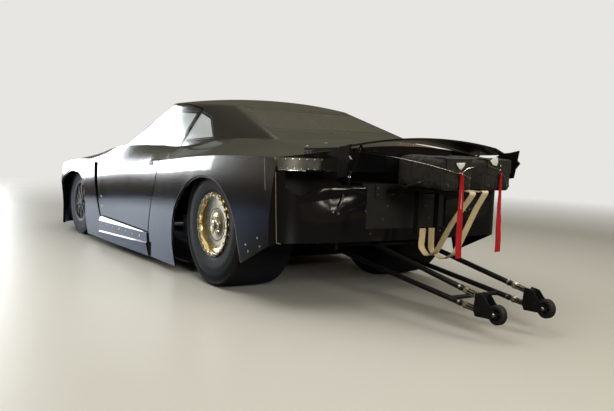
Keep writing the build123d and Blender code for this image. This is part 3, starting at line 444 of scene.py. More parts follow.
class Form:
    """Points and faces of one piece."""

    def __init__(self):
        self.points = []
        self.faces = []

    def add(self, points, faces):
        """Adds points, and faces that count from the first of them."""
        start = len(self.points)
        self.points += [Vector(p) for p in points]
        self.faces += [tuple(start + i for i in face) for face in faces]

    def rows(self, rows, closed_row=True, closed_all=False, caps=False):
        """Skin over rows of points, each row closed or open."""
        count = len(rows[0])
        points = [p for row in rows for p in row]
        faces = []
        last = len(rows) if closed_all else len(rows) - 1
        span = count if closed_row else count - 1
        for i in range(last):
            a, b = i * count, (i + 1) % len(rows) * count
            for j in range(span):
                k = (j + 1) % count
                faces.append((a + j, a + k, b + k, b + j))
        if caps:
            faces.append(tuple(range(count))[::-1])
            faces.append(tuple(range((len(rows) - 1) * count, len(rows) * count)))
        self.add(points, faces)

    def lathe(self, profile, centre, steps, lobes=0, lobe_depth=0.0):
        """Turned form about the X line through centre; profile holds (x, radius)."""
        rows = []
        for a in turns(steps):
            cut = lobe_depth * (0.5 - 0.5 * cos(lobes * a))
            rows.append([(centre[0] + x, centre[1] + (r - cut) * sin(a), centre[2] + (r - cut) * cos(a))
                         for x, r in profile])
        self.rows(rows, closed_all=True)

    def tube(self, path, radius, steps=10):
        """Round tube along points, with closed ends."""
        path = [Vector(p) for p in path]
        rows = []
        side = run_at(path, 0).orthogonal().normalized()
        for i, p in enumerate(path):
            run = run_at(path, i)
            side = (side - run * side.dot(run)).normalized()
            size = radius[i] if isinstance(radius, (list, tuple)) else radius
            rows.append(round_points(p, side, run.cross(side), size, steps))
        self.rows(rows, caps=True)

    def stud(self, place, axis, radius, height, sides=6, dome=0.3):
        """Bolt head or rivet standing on a surface: a skirt, sides and a chamfered top."""
        axis, side, other = frame_of(axis)
        shape = ((1.25, -0.2), (1.25, 0.25), (1.0, 0.25), (1.0, 0.85), (1.0 - dome * 0.6, 1.0), (0.3, 1.0))
        self.rows([round_points(Vector(place) + axis * (up * height), side, other, share * radius, sides)
                   for share, up in shape], caps=True)

    def stud_on(self, hit, radius, height, sides=6, dome=0.3, lift=0.0):
        """Bolt head or rivet on a place found on a panel, where there is one."""
        if hit:
            place, normal = hit
            self.stud(place + normal * lift, normal, radius, height, sides, dome)

    def slab(self, outline, lift, depth):
        """Plate from outline points, raised by lift (a vector), with its back depth lower."""
        lift = Vector(lift)
        top = [Vector(p) + lift for p in outline]
        low = [p - lift.normalized() * depth for p in top]
        self.rows([low, top], caps=True)

    def mirrored(self):
        """The same form on the other side."""
        other = Form()
        other.add([(-p.x, p.y, p.z) for p in self.points], [tuple(reversed(f)) for f in self.faces])
        return other

    def join(self, other):
        """Takes in another form."""
        self.add(other.points, other.faces)
        return self

    def piece(self, name, slot, body="car", paint=None, replaces=(), sharp=35.0):
        """The form as a piece that rides on a body, in its slot's paint or another."""
        mesh = bpy.data.meshes.new(name)
        mesh.from_pydata([tuple(p) for p in self.points], [], self.faces)
        form = bmesh.new()
        form.from_mesh(mesh)
        bmesh.ops.recalc_face_normals(form, faces=form.faces)
        form.to_mesh(mesh)
        form.free()
        mesh.shade_smooth()
        mesh.set_sharp_from_angle(angle=radians(sharp))
        mesh.materials.append((paint or paints[slot]).material)
        obj = placed(name, mesh)
        if replaces:
            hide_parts(*replaces)
        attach(obj, body)
        return obj

    def pair(self, name, slot, paint=None):
        """The form and its mirror image as one piece of the car."""
        return self.join(self.mirrored()).piece(name, slot, paint=paint)


# Places on the panels
camera_ahead = Vector((-sin(camera_yaw) * cos(camera_pitch), -cos(camera_yaw) * cos(camera_pitch),
                       -sin(camera_pitch)))
level_right = Vector((-cos(camera_yaw), sin(camera_yaw), 0.0))
level_up = level_right.cross(camera_ahead)
camera_right = level_right * cos(camera_roll) + level_up * sin(camera_roll)
camera_up = level_up * cos(camera_roll) - level_right * sin(camera_roll)


def struck(nodes, start, aim):
    """First point and outward normal that a line meets on these CAD nodes."""
    best = None
    for name in nodes:
        hit, place, normal, _ = frame["nodes"][name].ray_cast(Vector(start), Vector(aim).normalized())
        if hit and (best is None or (place - start).length < (best[0] - start).length):
            best = (place.copy(), normal.copy())
    if best and best[1].dot(aim) > 0:
        best = (best[0], -best[1])
    return best


def pixel_aim(column, row):
    """Direction from the camera through a pixel of the photograph."""
    across = (column - image_size[0] / 2) / focal_pixels
    down = (row - image_size[1] / 2) / focal_pixels
    return camera_ahead + camera_right * across - camera_up * down


def seen(nodes, column, row):
    """Point and normal of the CAD nodes under a pixel of the photograph."""
    return struck(nodes, camera_place, pixel_aim(column, row).normalized())


def on_plane(column, row, y):
    """Point under a pixel of the photograph on an upright plane across the car, y from the rear axle."""
    aim = pixel_aim(column, row)
    return camera_place + aim * ((y + rear_axle_y - camera_place.y) / aim.y)


def on_side(column, row, x):
    """Point under a pixel of the photograph on an upright plane along the car."""
    aim = pixel_aim(column, row)
    return camera_place + aim * ((x - camera_place.x) / aim.x)


def from_side(nodes, y, z):
    """Point and normal on the left side at a place (y, z) from the rear axle."""
    return struck(nodes, Vector((1.6, y + rear_axle_y, z)), Vector((-1, 0, 0)))


def from_rear(nodes, x, z):
    """Point and normal on the tail."""
    return struck(nodes, Vector((x, 3.4, z)), Vector((0, -1, 0)))


def from_front(nodes, x, z):
    """Point and normal on the nose or the windscreen."""
    return struck(nodes, Vector((x, -6.0, z)), Vector((0, 1, 0)))


def from_top(nodes, x, y):
    """Point and normal on the top at a place (x, y) from the rear axle."""
    return struck(nodes, Vector((x, y + rear_axle_y, 2.0)), Vector((0, 0, -1)))


def laid_strip(form, hits, width, height):
    """Thin raised strip along points on a surface, given with their normals."""
    hits = [h for h in hits if h]
    places = [place for place, _ in hits]
    rows = []
    for i, (place, normal) in enumerate(hits):
        side = run_at(places, i).cross(normal).normalized() * (width / 2)
        low = place - normal * height * 0.5
        top = place + normal * height
        rows.append([low - side, low + side, top + side * 0.6, top - side * 0.6])
    if len(rows) > 1:
        form.rows(rows, caps=True)


def between(points, steps):
    """Points evenly along a run of straight lines."""
    spans = [(Vector(a), Vector(b)) for a, b in zip(points, points[1:])]
    total = sum((b - a).length for a, b in spans)
    out = []
    for i in range(steps + 1):
        left = total * i / steps
        for a, b in spans:
            length = (b - a).length
            if left <= length + 1e-9:
                out.append(a.lerp(b, left / length if length else 0))
                break
            left -= length
        else:
            out.append(spans[-1][1].copy())
    return out


def smooth_run(points, rounds=3):
    """Rounds the corners of a run of points."""
    points = [Vector(p) for p in points]
    for _ in range(rounds):
        new = [points[0]]
        for a, b in zip(points, points[1:]):
            new += [a.lerp(b, 0.25), a.lerp(b, 0.75)]
        points = new + [points[-1]]
    return points


# Tyres and wheels. Sections are lists of (x from the wheel's middle, radius), drawn for the left side.
def both_faces(half_section):
    """Section that is the same on both faces."""
    return list(half_section) + [(-x, r) for x, r in reversed(half_section)]


def tyre_profile(half, radius, bore, bulge, tread_drop):
    """Section of a tyre from bead to bead: beads, bulged walls with moulded ribs, shoulders and tread."""
    wall = []
    depth = radius - bore
    tread_half = half * 0.86
    wall_steps, rib_steps, rib_height = 18, (3, 4, 9, 13, 14), 0.0012
    for i in range(wall_steps + 1):
        share = i / wall_steps
        x = half * (0.90 + bulge * sin(pi * min(1.0, share * 1.05)) ** 0.8)
        rib = rib_height if i in rib_steps else 0.0
        wall.append((min(x, half - 0.001) + rib - 0.001, bore + 0.002 + share * depth * 0.86))
    for i in range(1, 7):
        angle = pi / 2 * i / 6
        wall.append((tread_half + (half * 0.10 - 0.002) * cos(angle),
                     bore + depth * 0.86 + depth * (0.14 - tread_drop) * sin(angle)))
    crown = [(tread_half * (1 - i / 8), radius - tread_drop * depth * (1 - i / 8) ** 2 - 0.0004)
             for i in range(1, 8)]
    inside = [(-tread_half, bore - 0.001), (tread_half, bore - 0.001)]
    return both_faces(wall + crown) + inside


def grooved(profile, places, width, depth):
    """Tread grooves cut round a tyre section."""
    tread_radius, longest_step, draft = 0.3, 0.2, 0.0008
    for place in places:
        cut = []
        for (xa, ra), (xb, rb) in zip(profile, profile[1:] + profile[:1]):
            cut.append((xa, ra))
            if ra > tread_radius and rb > tread_radius and xa > place >= xb and xa - xb < longest_step:
                r = ra + (rb - ra) * (xa - place) / (xa - xb)
                cut += [(place + width / 2, r), (place + width / 2 - draft, r - depth),
                        (place - width / 2 + draft, r - depth), (place - width / 2, r)]
        profile = cut
    return profile


def ring_of_bolts(form, centre, sign, x, radius, count, size, height, sides=6, turn=0.0):
    """Bolt heads round a wheel face."""
    for a in turns(count, turn):
        place = (centre[0] + sign * x, centre[1] + radius * sin(a), centre[2] + radius * cos(a))
        form.stud(place, (sign, 0, 0), size, height, sides)


def facing(profile, sign):
    """Section turned to the left or the right side."""
    return [(sign * x, r) for x, r in profile]


def spokes(form, centre, sign, count, stations, foot, taper=1.0):
    """Spokes from stations of (radius, half width, face), with their backs at foot."""
    for a in turns(count):
        tip = Vector((0, sin(a), cos(a)))
        cross = Vector((0, cos(a), -sin(a)))
        rows = []
        for r, wide, face in stations:
            low = Vector(centre) + tip * r + Vector((sign * foot, 0, 0))
            top = Vector(centre) + tip * r + Vector((sign * face, 0, 0))
            rows.append([low + cross * wide, top + cross * wide * taper, top - cross * wide * taper,
                         low - cross * wide])
        form.rows(rows, caps=True)


tread_grooves = (0.030, 0.010, -0.010, -0.030)
clamp_section = ((0.198, 0.196), (0.214, 0.199), (0.2155, 0.203), (0.2155, 0.2215), (0.213, 0.2245),
                 (0.198, 0.2245))
clamp_bolts = {"x": 0.2155, "radius": 0.2125, "count": 24, "size": 0.0056, "height": 0.005}
dish_section = ((0.196, 0.1965), (0.194, 0.1925), (0.186, 0.188), (0.181, 0.178), (0.177, 0.160),
                (0.1745, 0.135), (0.1735, 0.110), (0.174, 0.085), (0.176, 0.072), (0.179, 0.064),
                (0.179, 0.020), (0.160, 0.018), (0.1585, 0.030), (0.1585, 0.19), (0.185, 0.1975))
dish_rivets = {"x": 0.1785, "radius": 0.168, "count": 10, "size": 0.0034, "height": 0.003, "sides": 10,
               "turn": pi / 10}
hub_section = ((0.176, 0.040), (0.190, 0.0385), (0.197, 0.034), (0.2015, 0.024), (0.203, 0.010),
               (0.203, 0.001), (0.176, 0.001))
hub_nuts = {"x": 0.178, "radius": 0.052, "count": 5, "size": 0.0085, "height": 0.012}
band_section = ((0.1735, 0.1085), (0.1748, 0.1090), (0.1752, 0.1140), (0.1742, 0.1145))
lip_section = ((0.052, 0.190), (0.0555, 0.193), (0.0555, 0.203), (0.0535, 0.2055), (0.050, 0.204),
               (0.050, 0.192))
well_section = ((0.037, 0.176), (0.050, 0.178), (0.050, 0.186), (0.040, 0.185))
front_spoke_stations = ((0.040, 0.016, 0.048), (0.09, 0.010, 0.050), (0.14, 0.009, 0.046),
                        (0.181, 0.015, 0.043))
cap_section = ((0.047, 0.040), (0.0555, 0.037), (0.0560, 0.020), (0.0565, 0.001), (0.047, 0.001))
front_nuts = {"x": 0.048, "radius": 0.052, "count": 5, "size": 0.008, "height": 0.008}
bar_half = 0.020
bar_tyre_side = ((bar_half - 0.002, 0.036), (bar_half, 0.038), (bar_half, 0.049), (bar_half - 0.003, 0.0535),
                 (bar_half - 0.007, 0.055), (0.0015, 0.055), (0.001, 0.0535))
bar_core_side = ((bar_half - 0.002, 0.036), (bar_half - 0.002, 0.032), (0.004, 0.030), (0.004, 0.016),
                 (bar_half - 0.001, 0.014), (bar_half - 0.001, 0.0085))
bar_spoke_stations = ((0.013, 0.004, 0.014), (0.024, 0.003, 0.014), (0.034, 0.0045, 0.014))


def slick_wheel(sign, side):
    """Rear slick and bead lock: a scalloped clamp ring, bolts in its lobes, a dished centre, and the hub."""
    centre = (sign * slick_centre_x, rear_axle_y, slick_radius)
    body = f"rear_wheel_{side}"
    slick, clamp, bolts, dish, hub, band = [Form() for _ in range(6)]
    slick.lathe(tyre_profile(slick_half, slick_radius, slick_bore, 0.085, 0.03), centre, 128)
    slick.piece(f"slick_rubber_{side}", "tyre", body, replaces=(f"slick_{side}",))
    clamp.lathe(facing(clamp_section, sign), centre, 240, lobes=24, lobe_depth=0.0075)
    clamp.piece(f"bead_lock_{side}", "bare_metal", body)
    ring_of_bolts(bolts, centre, sign, **clamp_bolts)
    bolts.piece(f"bead_lock_bolts_{side}", "bare_metal", body, dark_steel_and_shade_paint)
    dish.lathe(facing(dish_section, sign), centre, 128)
    ring_of_bolts(dish, centre, sign, **dish_rivets)
    dish.piece(f"wheel_dish_{side}", "bare_metal", body)
    hub.lathe(facing(hub_section, sign), centre, 48)
    ring_of_bolts(hub, centre, sign, **hub_nuts)
    hub.piece(f"hub_cap_{side}", "bare_metal", body, steel_paint)
    band.lathe(facing(band_section, sign), centre, 96)
    band.piece(f"wheel_band_{side}", "black_plastic", body)


def front_wheel(sign, side):
    """Grooved front tyre on a spoked disc with a lipped rim, nuts and a cap."""
    centre = (sign * front_centre_x, front_axle_y, front_radius)
    body = f"front_wheel_{side}"
    tyre, rim, cap = Form(), Form(), Form()
    section = tyre_profile(front_half, front_radius, front_bore, 0.07, 0.05)
    tyre.lathe(grooved(section, tread_grooves, 0.005, 0.004), centre, 112)
    # The front tyre takes the darker rubber as painted shade
    tyre.piece(f"shaded_front_rubber_{side}", "tyre", body, painted_shade_tyre_paint, (f"front_tyre_{side}",))
    rim.lathe(facing(lip_section, sign), centre, 112)
    rim.lathe(facing(well_section, sign), centre, 112)
    spokes(rim, centre, sign, 10, front_spoke_stations, 0.037, 0.8)
    # The front spokes take the dark steel as painted shade
    rim.piece(f"front_spokes_{side}", "bare_metal", body, dark_steel_and_shade_paint)
    cap.lathe(facing(cap_section, sign), centre, 40)
    ring_of_bolts(cap, centre, sign, **front_nuts)
    # The front cap takes the dark steel as painted shade
    cap.piece(f"front_cap_{side}", "bare_metal", body, dark_steel_and_shade_paint)


def bar_wheel(sign, side):
    """Wheelie wheel: a grooved rubber rim on a spoked dark centre."""
    centre = (sign * bar_x, bar_wheel_y, bar_wheel_z)
    body = f"bar_wheel_{side}"
    rim, core = Form(), Form()
    rim.lathe(both_faces(bar_tyre_side), centre, 72)
    rim.piece(f"bar_rubber_{side}", "tyre", body, replaces=(f"bar_wheel_{side}",))
    core.lathe(both_faces(bar_core_side), centre, 48)
    for face in (1, -1):
        spokes(core, centre, face, 5, bar_spoke_stations, 0.003)
    core.piece(f"bar_core_{side}", "black_plastic", body)


for sign, side in both_sides:
    slick_wheel(sign, side)
    front_wheel(sign, side)
    bar_wheel(sign, side)

# Wheelie bar: tie ends, jam nuts, axle bolts and bracket plates. Bars run from one (y, z) to another.
upper_bar = ((rear_axle_y + 0.150, 0.523), (rear_axle_y + 1.850, 0.222))
lower_bar = ((rear_axle_y + 0.150, 0.340), (rear_axle_y + 1.850, 0.146))
bracket_face = 0.0275
bracket_outline = ((-0.140, 0.250), (-0.080, 0.243), (-0.045, 0.205), (0.010, 0.170), (0.020, 0.140),
                   (-0.020, 0.124), (-0.135, 0.118), (-0.150, 0.150))
bracket_bolt_places = ((-0.125, 0.232), (-0.125, 0.136), (-0.070, 0.165))


def on_bar(bar, x, share):
    """Point along a bar of the frame."""
    (y_low, z_low), (y_high, z_high) = bar
    return Vector((x, y_low + share * (y_high - y_low), z_low + share * (z_high - z_low)))


ties, plates = Form(), Form()
for sign, side in both_sides:
    x = sign * bar_x
    for bar in (upper_bar, lower_bar):
        for low, high in ((0.925, 0.985), (0.035, 0.075)):
            path = [on_bar(bar, x, low + (high - low) * i / 12) for i in range(13)]
            ties.tube(path, [0.0172 + 0.0006 * (i % 2) if 2 < i < 10 else 0.0205 for i in range(13)], 6)
        ties.tube([on_bar(bar, x, 0.90 + 0.004 * i) for i in range(3)], 0.0185, 24)
    for face in (1, -1):
        out = x + face * bracket_face
        ties.stud((out, bar_wheel_y, bar_wheel_z), (face, 0, 0), 0.011, 0.010, 6)
        plates.slab([(out, bar_wheel_y + y, z) for y, z in bracket_outline], (face * 0.004, 0, 0), 0.004)
        for y, z in bracket_bolt_places:
            plates.stud((out + face * 0.004, bar_wheel_y + y, z), (face, 0, 0), 0.007, 0.005)
ties.piece("bar_ties", "bare_metal", paint=steel_paint)
plates.piece("bar_plates", "frame_black")

# Parachute packs: cloth held along its seams, filled and creased
pack_low = Vector((0.045, rear_axle_y + 1.175, 0.785))
pack_high = Vector((0.285, rear_axle_y + 1.585, 0.977))
pack_inset = 0.005
pack_corner = 0.030
pack_step = 0.0062
girth_places = (0.30, -0.38)
cloth_travel = 0.009
cloth_values = {"quality": 5, "mass": 0.12, "tension_stiffness": 18, "compression_stiffness": 12,
                "shear_stiffness": 6, "bending_stiffness": 0.25, "vertex_group_mass": "sewn",
                "use_pressure": True, "uniform_pressure_force": 4, "shrink_min": -0.045}


def pack_point(u, v, w):
    """Point of the filled pack's skin from box coordinates in -1..1: soft corners, a flatter base."""
    middle = (pack_low + pack_high) / 2
    half = (pack_high - pack_low) / 2 - Vector((pack_inset,) * 3)
    inner = half - Vector((pack_corner,) * 3)
    p = Vector((u * half.x, v * half.y, w * half.z))
    core = Vector([max(-most, min(most, value)) for value, most in zip(p, inner)])
    out = p - core
    if out.length > 1e-9:
        p = core + out.normalized() * min(out.length, pack_corner)
    return middle + p


def pack_skin():
    """Grid over the six sides of a pack, with the place of each point on its side."""
    size = pack_high - pack_low
    counts = [max(8, round(s / pack_step)) for s in size]
    form = bmesh.new()
    found = {}
    for axis in range(3):
        first, second = (axis + 1) % 3, (axis + 2) % 3
        for end in (-1, 1):
            grid = []
            for i in range(counts[first] + 1):
                row = []
                for j in range(counts[second] + 1):
                    box = [0.0, 0.0, 0.0]
                    box[axis] = end
                    box[first] = -1 + 2 * i / counts[first]
                    box[second] = -1 + 2 * j / counts[second]
                    key = tuple(round(b, 5) for b in box)
                    if key not in found:
                        found[key] = form.verts.new(pack_point(*box))
                    row.append(found[key])
                grid.append(row)
            for i in range(counts[first]):
                for j in range(counts[second]):
                    corners = [grid[i][j], grid[i + 1][j], grid[i + 1][j + 1], grid[i][j + 1]]
                    form.faces.new(corners if end > 0 else corners[::-1])
    form.verts.index_update()
    places = {vert.index: key for key, vert in found.items()}
    mesh = bpy.data.meshes.new("pack")
    form.to_mesh(mesh)
    form.free()
    return mesh, places


def seam_weight(key):
    """1 where the pack's cloth is sewn or tied down, 0 where it is free."""
    u, v, w = key
    top = w > 0.99 and (abs(u) > 0.86 or abs(u) < 0.02)
    rear = v > 0.99 and (abs(u) < 0.03 or abs(w) > 0.90 or abs(u) > 0.93)
    girth = any(abs(v - place) < 0.025 for place in girth_places)
    return 1.0 if top or rear or girth or w < -0.99 else 0.0


def filled(mesh, places, seed):
    """Runs the cloth of a pack under air pressure and returns its points."""
    obj = placed("pack_cloth", mesh)
    group = obj.vertex_groups.new(name="sewn")
    for index, key in places.items():
        if seam_weight(key) > 0:
            group.add([index], 1.0, "REPLACE")
    start = [v.co.copy() for v in mesh.vertices]
    for vert in mesh.vertices:
        shake = noise.noise_vector(vert.co * 34.0 + Vector((seed, 0, 0)))
        vert.co += shake * 0.0012
    cloth = obj.modifiers.new("cloth", "CLOTH")
    for key, value in cloth_values.items():
        setattr(cloth.settings, key, value)
    cloth.settings.effector_weights.gravity = 0
    cloth.collision_settings.use_collision = False
    for frame_number in range(1, 21):
        bpy.context.scene.frame_set(frame_number)
    made = obj.evaluated_get(bpy.context.evaluated_depsgraph_get())
    points = [v.co.copy() for v in made.data.vertices]
    bpy.data.objects.remove(obj)
    bpy.context.scene.frame_set(1)
    out = []
    for a, b in zip(start, points):
        move = b - a
        if move.length > cloth_travel:
            move *= cloth_travel / move.length
        out.append(a + move)
    return out


def crease(p, seed):
    """Small folds pressed in by hand, deeper along the girths."""
    wide = noise.noise(Vector((p.x * 9 + seed, p.y * 16, p.z * 12)))
    fine = noise.noise(Vector((p.x * 30, p.y * 55 + seed, p.z * 40)))
    return wide * 0.0035 + (0.5 - abs(fine)) * 0.0022


for sign, side in both_sides:
    mesh, places = pack_skin()
    seed = 3.7 if sign > 0 else 9.1
    for vert, co in zip(mesh.vertices, filled(mesh.copy(), places, seed)):
        vert.co = co
    mesh.update()
    normals = [v.normal.copy() for v in mesh.vertices]
    for vert, normal in zip(mesh.vertices, normals):
        sunk = 0.0035 if seam_weight(places[vert.index]) > 0 else 0.0
        if places[vert.index][2] > -0.99:
            vert.co += normal * (crease(vert.co, seed) - sunk)
        vert.co.z = max(vert.co.z, pack_low.z)
        vert.co.x *= sign
    if sign < 0:
        mesh.flip_normals()
    mesh.shade_smooth()
    mesh.materials.append(paints["black_fabric"].material)
    pack = placed(f"pack_{side}", mesh)
    finer = pack.modifiers.new("finer", "SUBSURF")
    finer.levels = finer.render_levels = 1
    if sign > 0:
        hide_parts("chute_packs")
    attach(pack, "car")


def pack_ring(v, lift, count):
    """Points and outward directions round a pack at one place along it."""
    middle = (pack_low + pack_high) / 2
    points = []
    for a in turns(count):
        size = max(abs(cos(a)), abs(sin(a)))
        p = pack_point(cos(a) / size, v, sin(a) / size)
        out = Vector((p.x - middle.x, 0, p.z - middle.z)).normalized()
        points.append((p + out * lift, out))
    return points


girths = Form()
piping = Form()
for v in girth_places:
    rows = []
    for p, out in pack_ring(v, 0.0, 72):
        p.z = max(p.z, pack_low.z + 0.002)
        half = Vector((0, 0.0125, 0))
        low, high = out * 0.001, out * 0.0028
        rows.append([p - half - low, p - half + high, p + half + high, p + half - low])
    girths.rows(rows, closed_all=True)
for v in (0.93, -0.93):
    path = [p for p, _ in pack_ring(v, 0.001, 84)]
    piping.tube(path + [path[0]], 0.0032, 8)
flap = []
for i in range(25):
    share = i / 24
    x = pack_low.x + 0.020 + (pack_high.x - pack_low.x - 0.040) * share
    row = []
    for j in range(13):
        along = j / 12
        if along < 0.5:
            y, z = pack_high.y - 0.10 + along * 2 * 0.095, pack_high.z - 0.002
        else:
            drop = (along - 0.5) * 2
            y, z = pack_high.y + 0.0005, pack_high.z - 0.006 - drop * (0.075 + 0.022 * sin(share * pi))
        edge = 0.003 * noise.noise(Vector((x * 40, along * 5, 2.0)))
        row.append(Vector((x, y + 0.002 + edge * (along > 0.5), z + edge + 0.002 * (along <= 0.5))))
    flap.append(row)
girths.rows([row + [p - Vector((0, 0.0025, 0.0015)) for p in reversed(row)] for row in flap], caps=True)
for sign, side in both_sides:
    for form, name in ((girths, "pack_girths"), (piping, "pack_piping")):
        (form if sign > 0 else form.mirrored()).piece(f"{name}_{side}", "black_fabric")


def eyelet(form, place, axis, radius):
    """Pressed dark ring in the cloth."""
    axis, side, other = frame_of(axis)
    rows = []
    for a in turns(24):
        out = side * cos(a) + other * sin(a)
        rows.append([Vector(place) + out * (radius + 0.0022 * cos(t)) + axis * 0.0018 * (sin(t) + 0.6)
                     for t in turns(8)])
    form.rows(rows, closed_all=True)


rings = Form()
for sign in (1, -1):
    for x, z in ((0.160, 0.905), (0.110, 0.900), (0.215, 0.900), (0.080, 0.820), (0.250, 0.820)):
        eyelet(rings, (sign * x, pack_high.y + 0.002, z), (0, 1, 0), 0.0062)
rings.piece("pack_eyelets", "bare_metal", paint=dark_steel_and_shade_paint)


# White tags sewn above the pins
tags = Form()
rear_y = 1.5945
left_tag = ((456.4, 162.9), (465.2, 162.7), (464.2, 166.0), (461.2, 169.8), (459.8, 169.4), (457.0, 165.4))
right_tag = ((490.2, 161.0), (494.2, 157.2), (497.6, 157.6), (498.0, 161.5), (496.6, 165.8), (493.0, 165.0))
for corners in (left_tag, right_tag):
    rim = [on_plane(u, v, rear_y) for u, v in corners]
    middle = sum(rim, Vector()) / len(rim)
    rows = []
    for share, lift in ((1.0, 0.0), (1.0, 0.0022), (0.86, 0.0030), (0.45, 0.0044)):
        ring = []
        for a, b in zip(rim, rim[1:] + rim[:1]):
            for k in range(5):
                p = a.lerp(b, k / 5)
                wave = 0.0012 * noise.noise(p * 60)
                ring.append(middle + (p - middle) * share + Vector((0, lift + wave, 0)))
        rows.append(ring)
    tags.rows(rows, caps=True)
tags.piece("pack_tags", "webbing", paint=white_paint)


# Webbing straps: two plies along the line between the packs and the tether bar
def bent_path(points, bends, step=0.006):
    """Line through points (y, z) with round corners, in metres from millimetres."""
    points = [Vector((0.0, y / 1000 + rear_axle_y, z / 1000)) for y, z in points]
    out = [points[0]]
    for before, corner, after, bend in zip(points, points[1:], points[2:], bends):
        a = (before - corner).normalized()
        b = (after - corner).normalized()
        half = a.angle(b) / 2
        radius = bend / 1000
        reach = radius / (sin(half) / cos(half))
        start, end = corner + a * reach, corner + b * reach
        hub = corner + (a + b).normalized() * (radius / sin(half))
        turn = pi - 2 * half
        count = max(3, int(turn * radius / step) + 2)
        for i in range(count + 1):
            share = i / count
            blend = (start - hub).slerp if turn > 0.01 else (start - hub).lerp
            out.append(hub + blend(end - hub, share).normalized() * radius)
    out.append(points[-1])
    return out


def resampled(points, step):
    """Points at even steps along a line."""
    length = sum((b - a).length for a, b in zip(points, points[1:]))
    return between(points, max(2, round(length / step))), length


def webbing_strap(name, x, points, bends, seed, replaced=()):
    """Strap of two plies with rounded edges, a shallow hollow along it and sewn blocks."""
    path, length = resampled(bent_path(points, bends), 0.005)
    rows = []
    for i, p in enumerate(path):
        out = Vector((1, 0, 0)).cross(run_at(path, i)).normalized()
        along = i / (len(path) - 1)
        sway = 0.0022 * noise.noise(Vector((seed, along * 7, 0)))
        lean = 0.0025 * noise.noise(Vector((seed + 4, along * 5, 0)))
        row = []
        for k, a in enumerate(turns(28)):
            wide = max(-1.0, min(1.0, 1.16 * cos(a)))
            hollow = 0.0012 * (1 - wide * wide)
            ply = 0.0008 if abs(abs(wide) - 1) < 0.02 and abs(sin(a)) < 0.25 else 0.0
            tall = (1 if sin(a) >= 0 else -1) * min(1.0, abs(sin(a)) * 1.9)
            ripple = 0.0006 * sin(i * 1.3 + k) * 0.5
            row.append(p + Vector((x + wide * 0.0245 + sway, 0, 0)) + out * (tall * (0.0028 - ply)
                       - hollow * (1 if sin(a) >= 0 else 0) + wide * lean + ripple))
        rows.append(row)
    form = Form()
    form.rows(rows, caps=True)
    for start in (0.30, 0.86):
        for lane in range(7):
            at = int((start + lane * 0.006) * (len(path) - 1))
            p = path[at]
            run = (path[at + 1] - p).normalized()
            out = Vector((1, 0, 0)).cross(run).normalized()
            for step in range(11):
                middle = p + Vector((x - 0.018 + step * 0.0036, 0, 0)) + out * 0.0027
                reach = Vector((0.0013, 0, 0))
                form.tube([middle - reach, middle + out * 0.0006, middle + reach], 0.0005, 5)
    obj = form.piece(name, "webbing", replaces=replaced)


strap_left = ((1420, 781.7), (1590, 781.7), (1421, 578), (1300, 385), (1225, 350), (1163, 400), (1170, 520))
strap_right = ((1420, 781.7), (1575, 781.7), (1618, 800), (1535, 672), (1385, 385), (1290, 338), (1175, 372),
               (1168.7, 520))
webbing_strap("strap_left", 0.036, strap_left, (12, 300, 60, 45, 40), 1.0, ("tether_straps",))
webbing_strap("strap_right", -0.040, strap_right, (60, 9, 300, 70, 60, 45), 6.0)


# Red ribbons, gathered on the pins and hanging in folds
def ribbon(name, pin_x, low_x, low_z, seed, replaced=()):
    """Thin ribbon gathered at its pin, with folds that open towards its end."""
    top = Vector((pin_x, rear_axle_y + 1.602, 0.899))
    end = Vector((low_x, rear_axle_y + 1.600, low_z))
    count, across = 96, 24
    rows = []
    for i in range(count + 1):
        share = i / count
        p = top.lerp(end, share)
        width = 0.018 + 0.031 * min(1.0, (share / 0.75) ** 0.8)
        fold = 0.0056 * (1 - 0.80 * min(1.0, share * 1.15))
        sway = 0.004 * sin(share * 4.3 + seed)
        front, back = [], []
        for k in range(across + 1):
            s = k / across - 0.5
            depth = fold * sin(s * 11 + seed + share * 1.6) + 0.0026 * noise.noise(
                Vector((s * 4 + seed, share * 9, 0.0)))
            q = p + Vector((s * width + sway * 0.35, depth + 0.003 * sin(share * 6 + seed), 0.0))
            q.z += 0.003 * noise.noise(Vector((s * 6, seed, 1.0))) * share
            front.append(q + Vector((0, 0.0005, 0)))
            back.append(q - Vector((0, 0.0005, 0)))
        rows.append(front + back[::-1])
    form = Form()
    form.rows(rows, caps=True)
    obj = form.piece(name, "red_fabric", replaces=replaced, sharp=80.0)


ribbon("ribbon_left", 0.160, 0.149, 0.400, 0.4, ("safety_ribbons",))
ribbon("ribbon_right", -0.163, -0.176, 0.424, 2.2)


# Release cable, wire loops and the white string
def smooth_curve(name, points):
    """Smooth curve in the scene along control points."""
    data = bpy.data.curves.new(name, "CURVE")
    data.dimensions = "3D"
    data.resolution_u = 8
    spline = data.splines.new("NURBS")
    spline.points.add(len(points) - 1)
    for control, p in zip(spline.points, points):
        control.co = (*p, 1.0)
    spline.order_u = 3
    spline.use_endpoint_u = True
    return placed(name, data)


def free_cord(name, points, diameter, paint):
    """Cord along the control points of a smooth curve, measured along its own line."""
    line = smooth_curve("line", points)
    bpy.context.view_layer.update()
    spots = [v.co.copy() for v in line.to_mesh().vertices]
    line.to_mesh_clear()
    bpy.data.curves.remove(line.data)
    obj = smooth_curve(name, points)
    obj.data.bevel_depth = diameter / 2
    obj.data.bevel_resolution = 3
    obj.data.materials.append(paint.material)
    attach(obj, "car")
    bpy.context.view_layer.update()


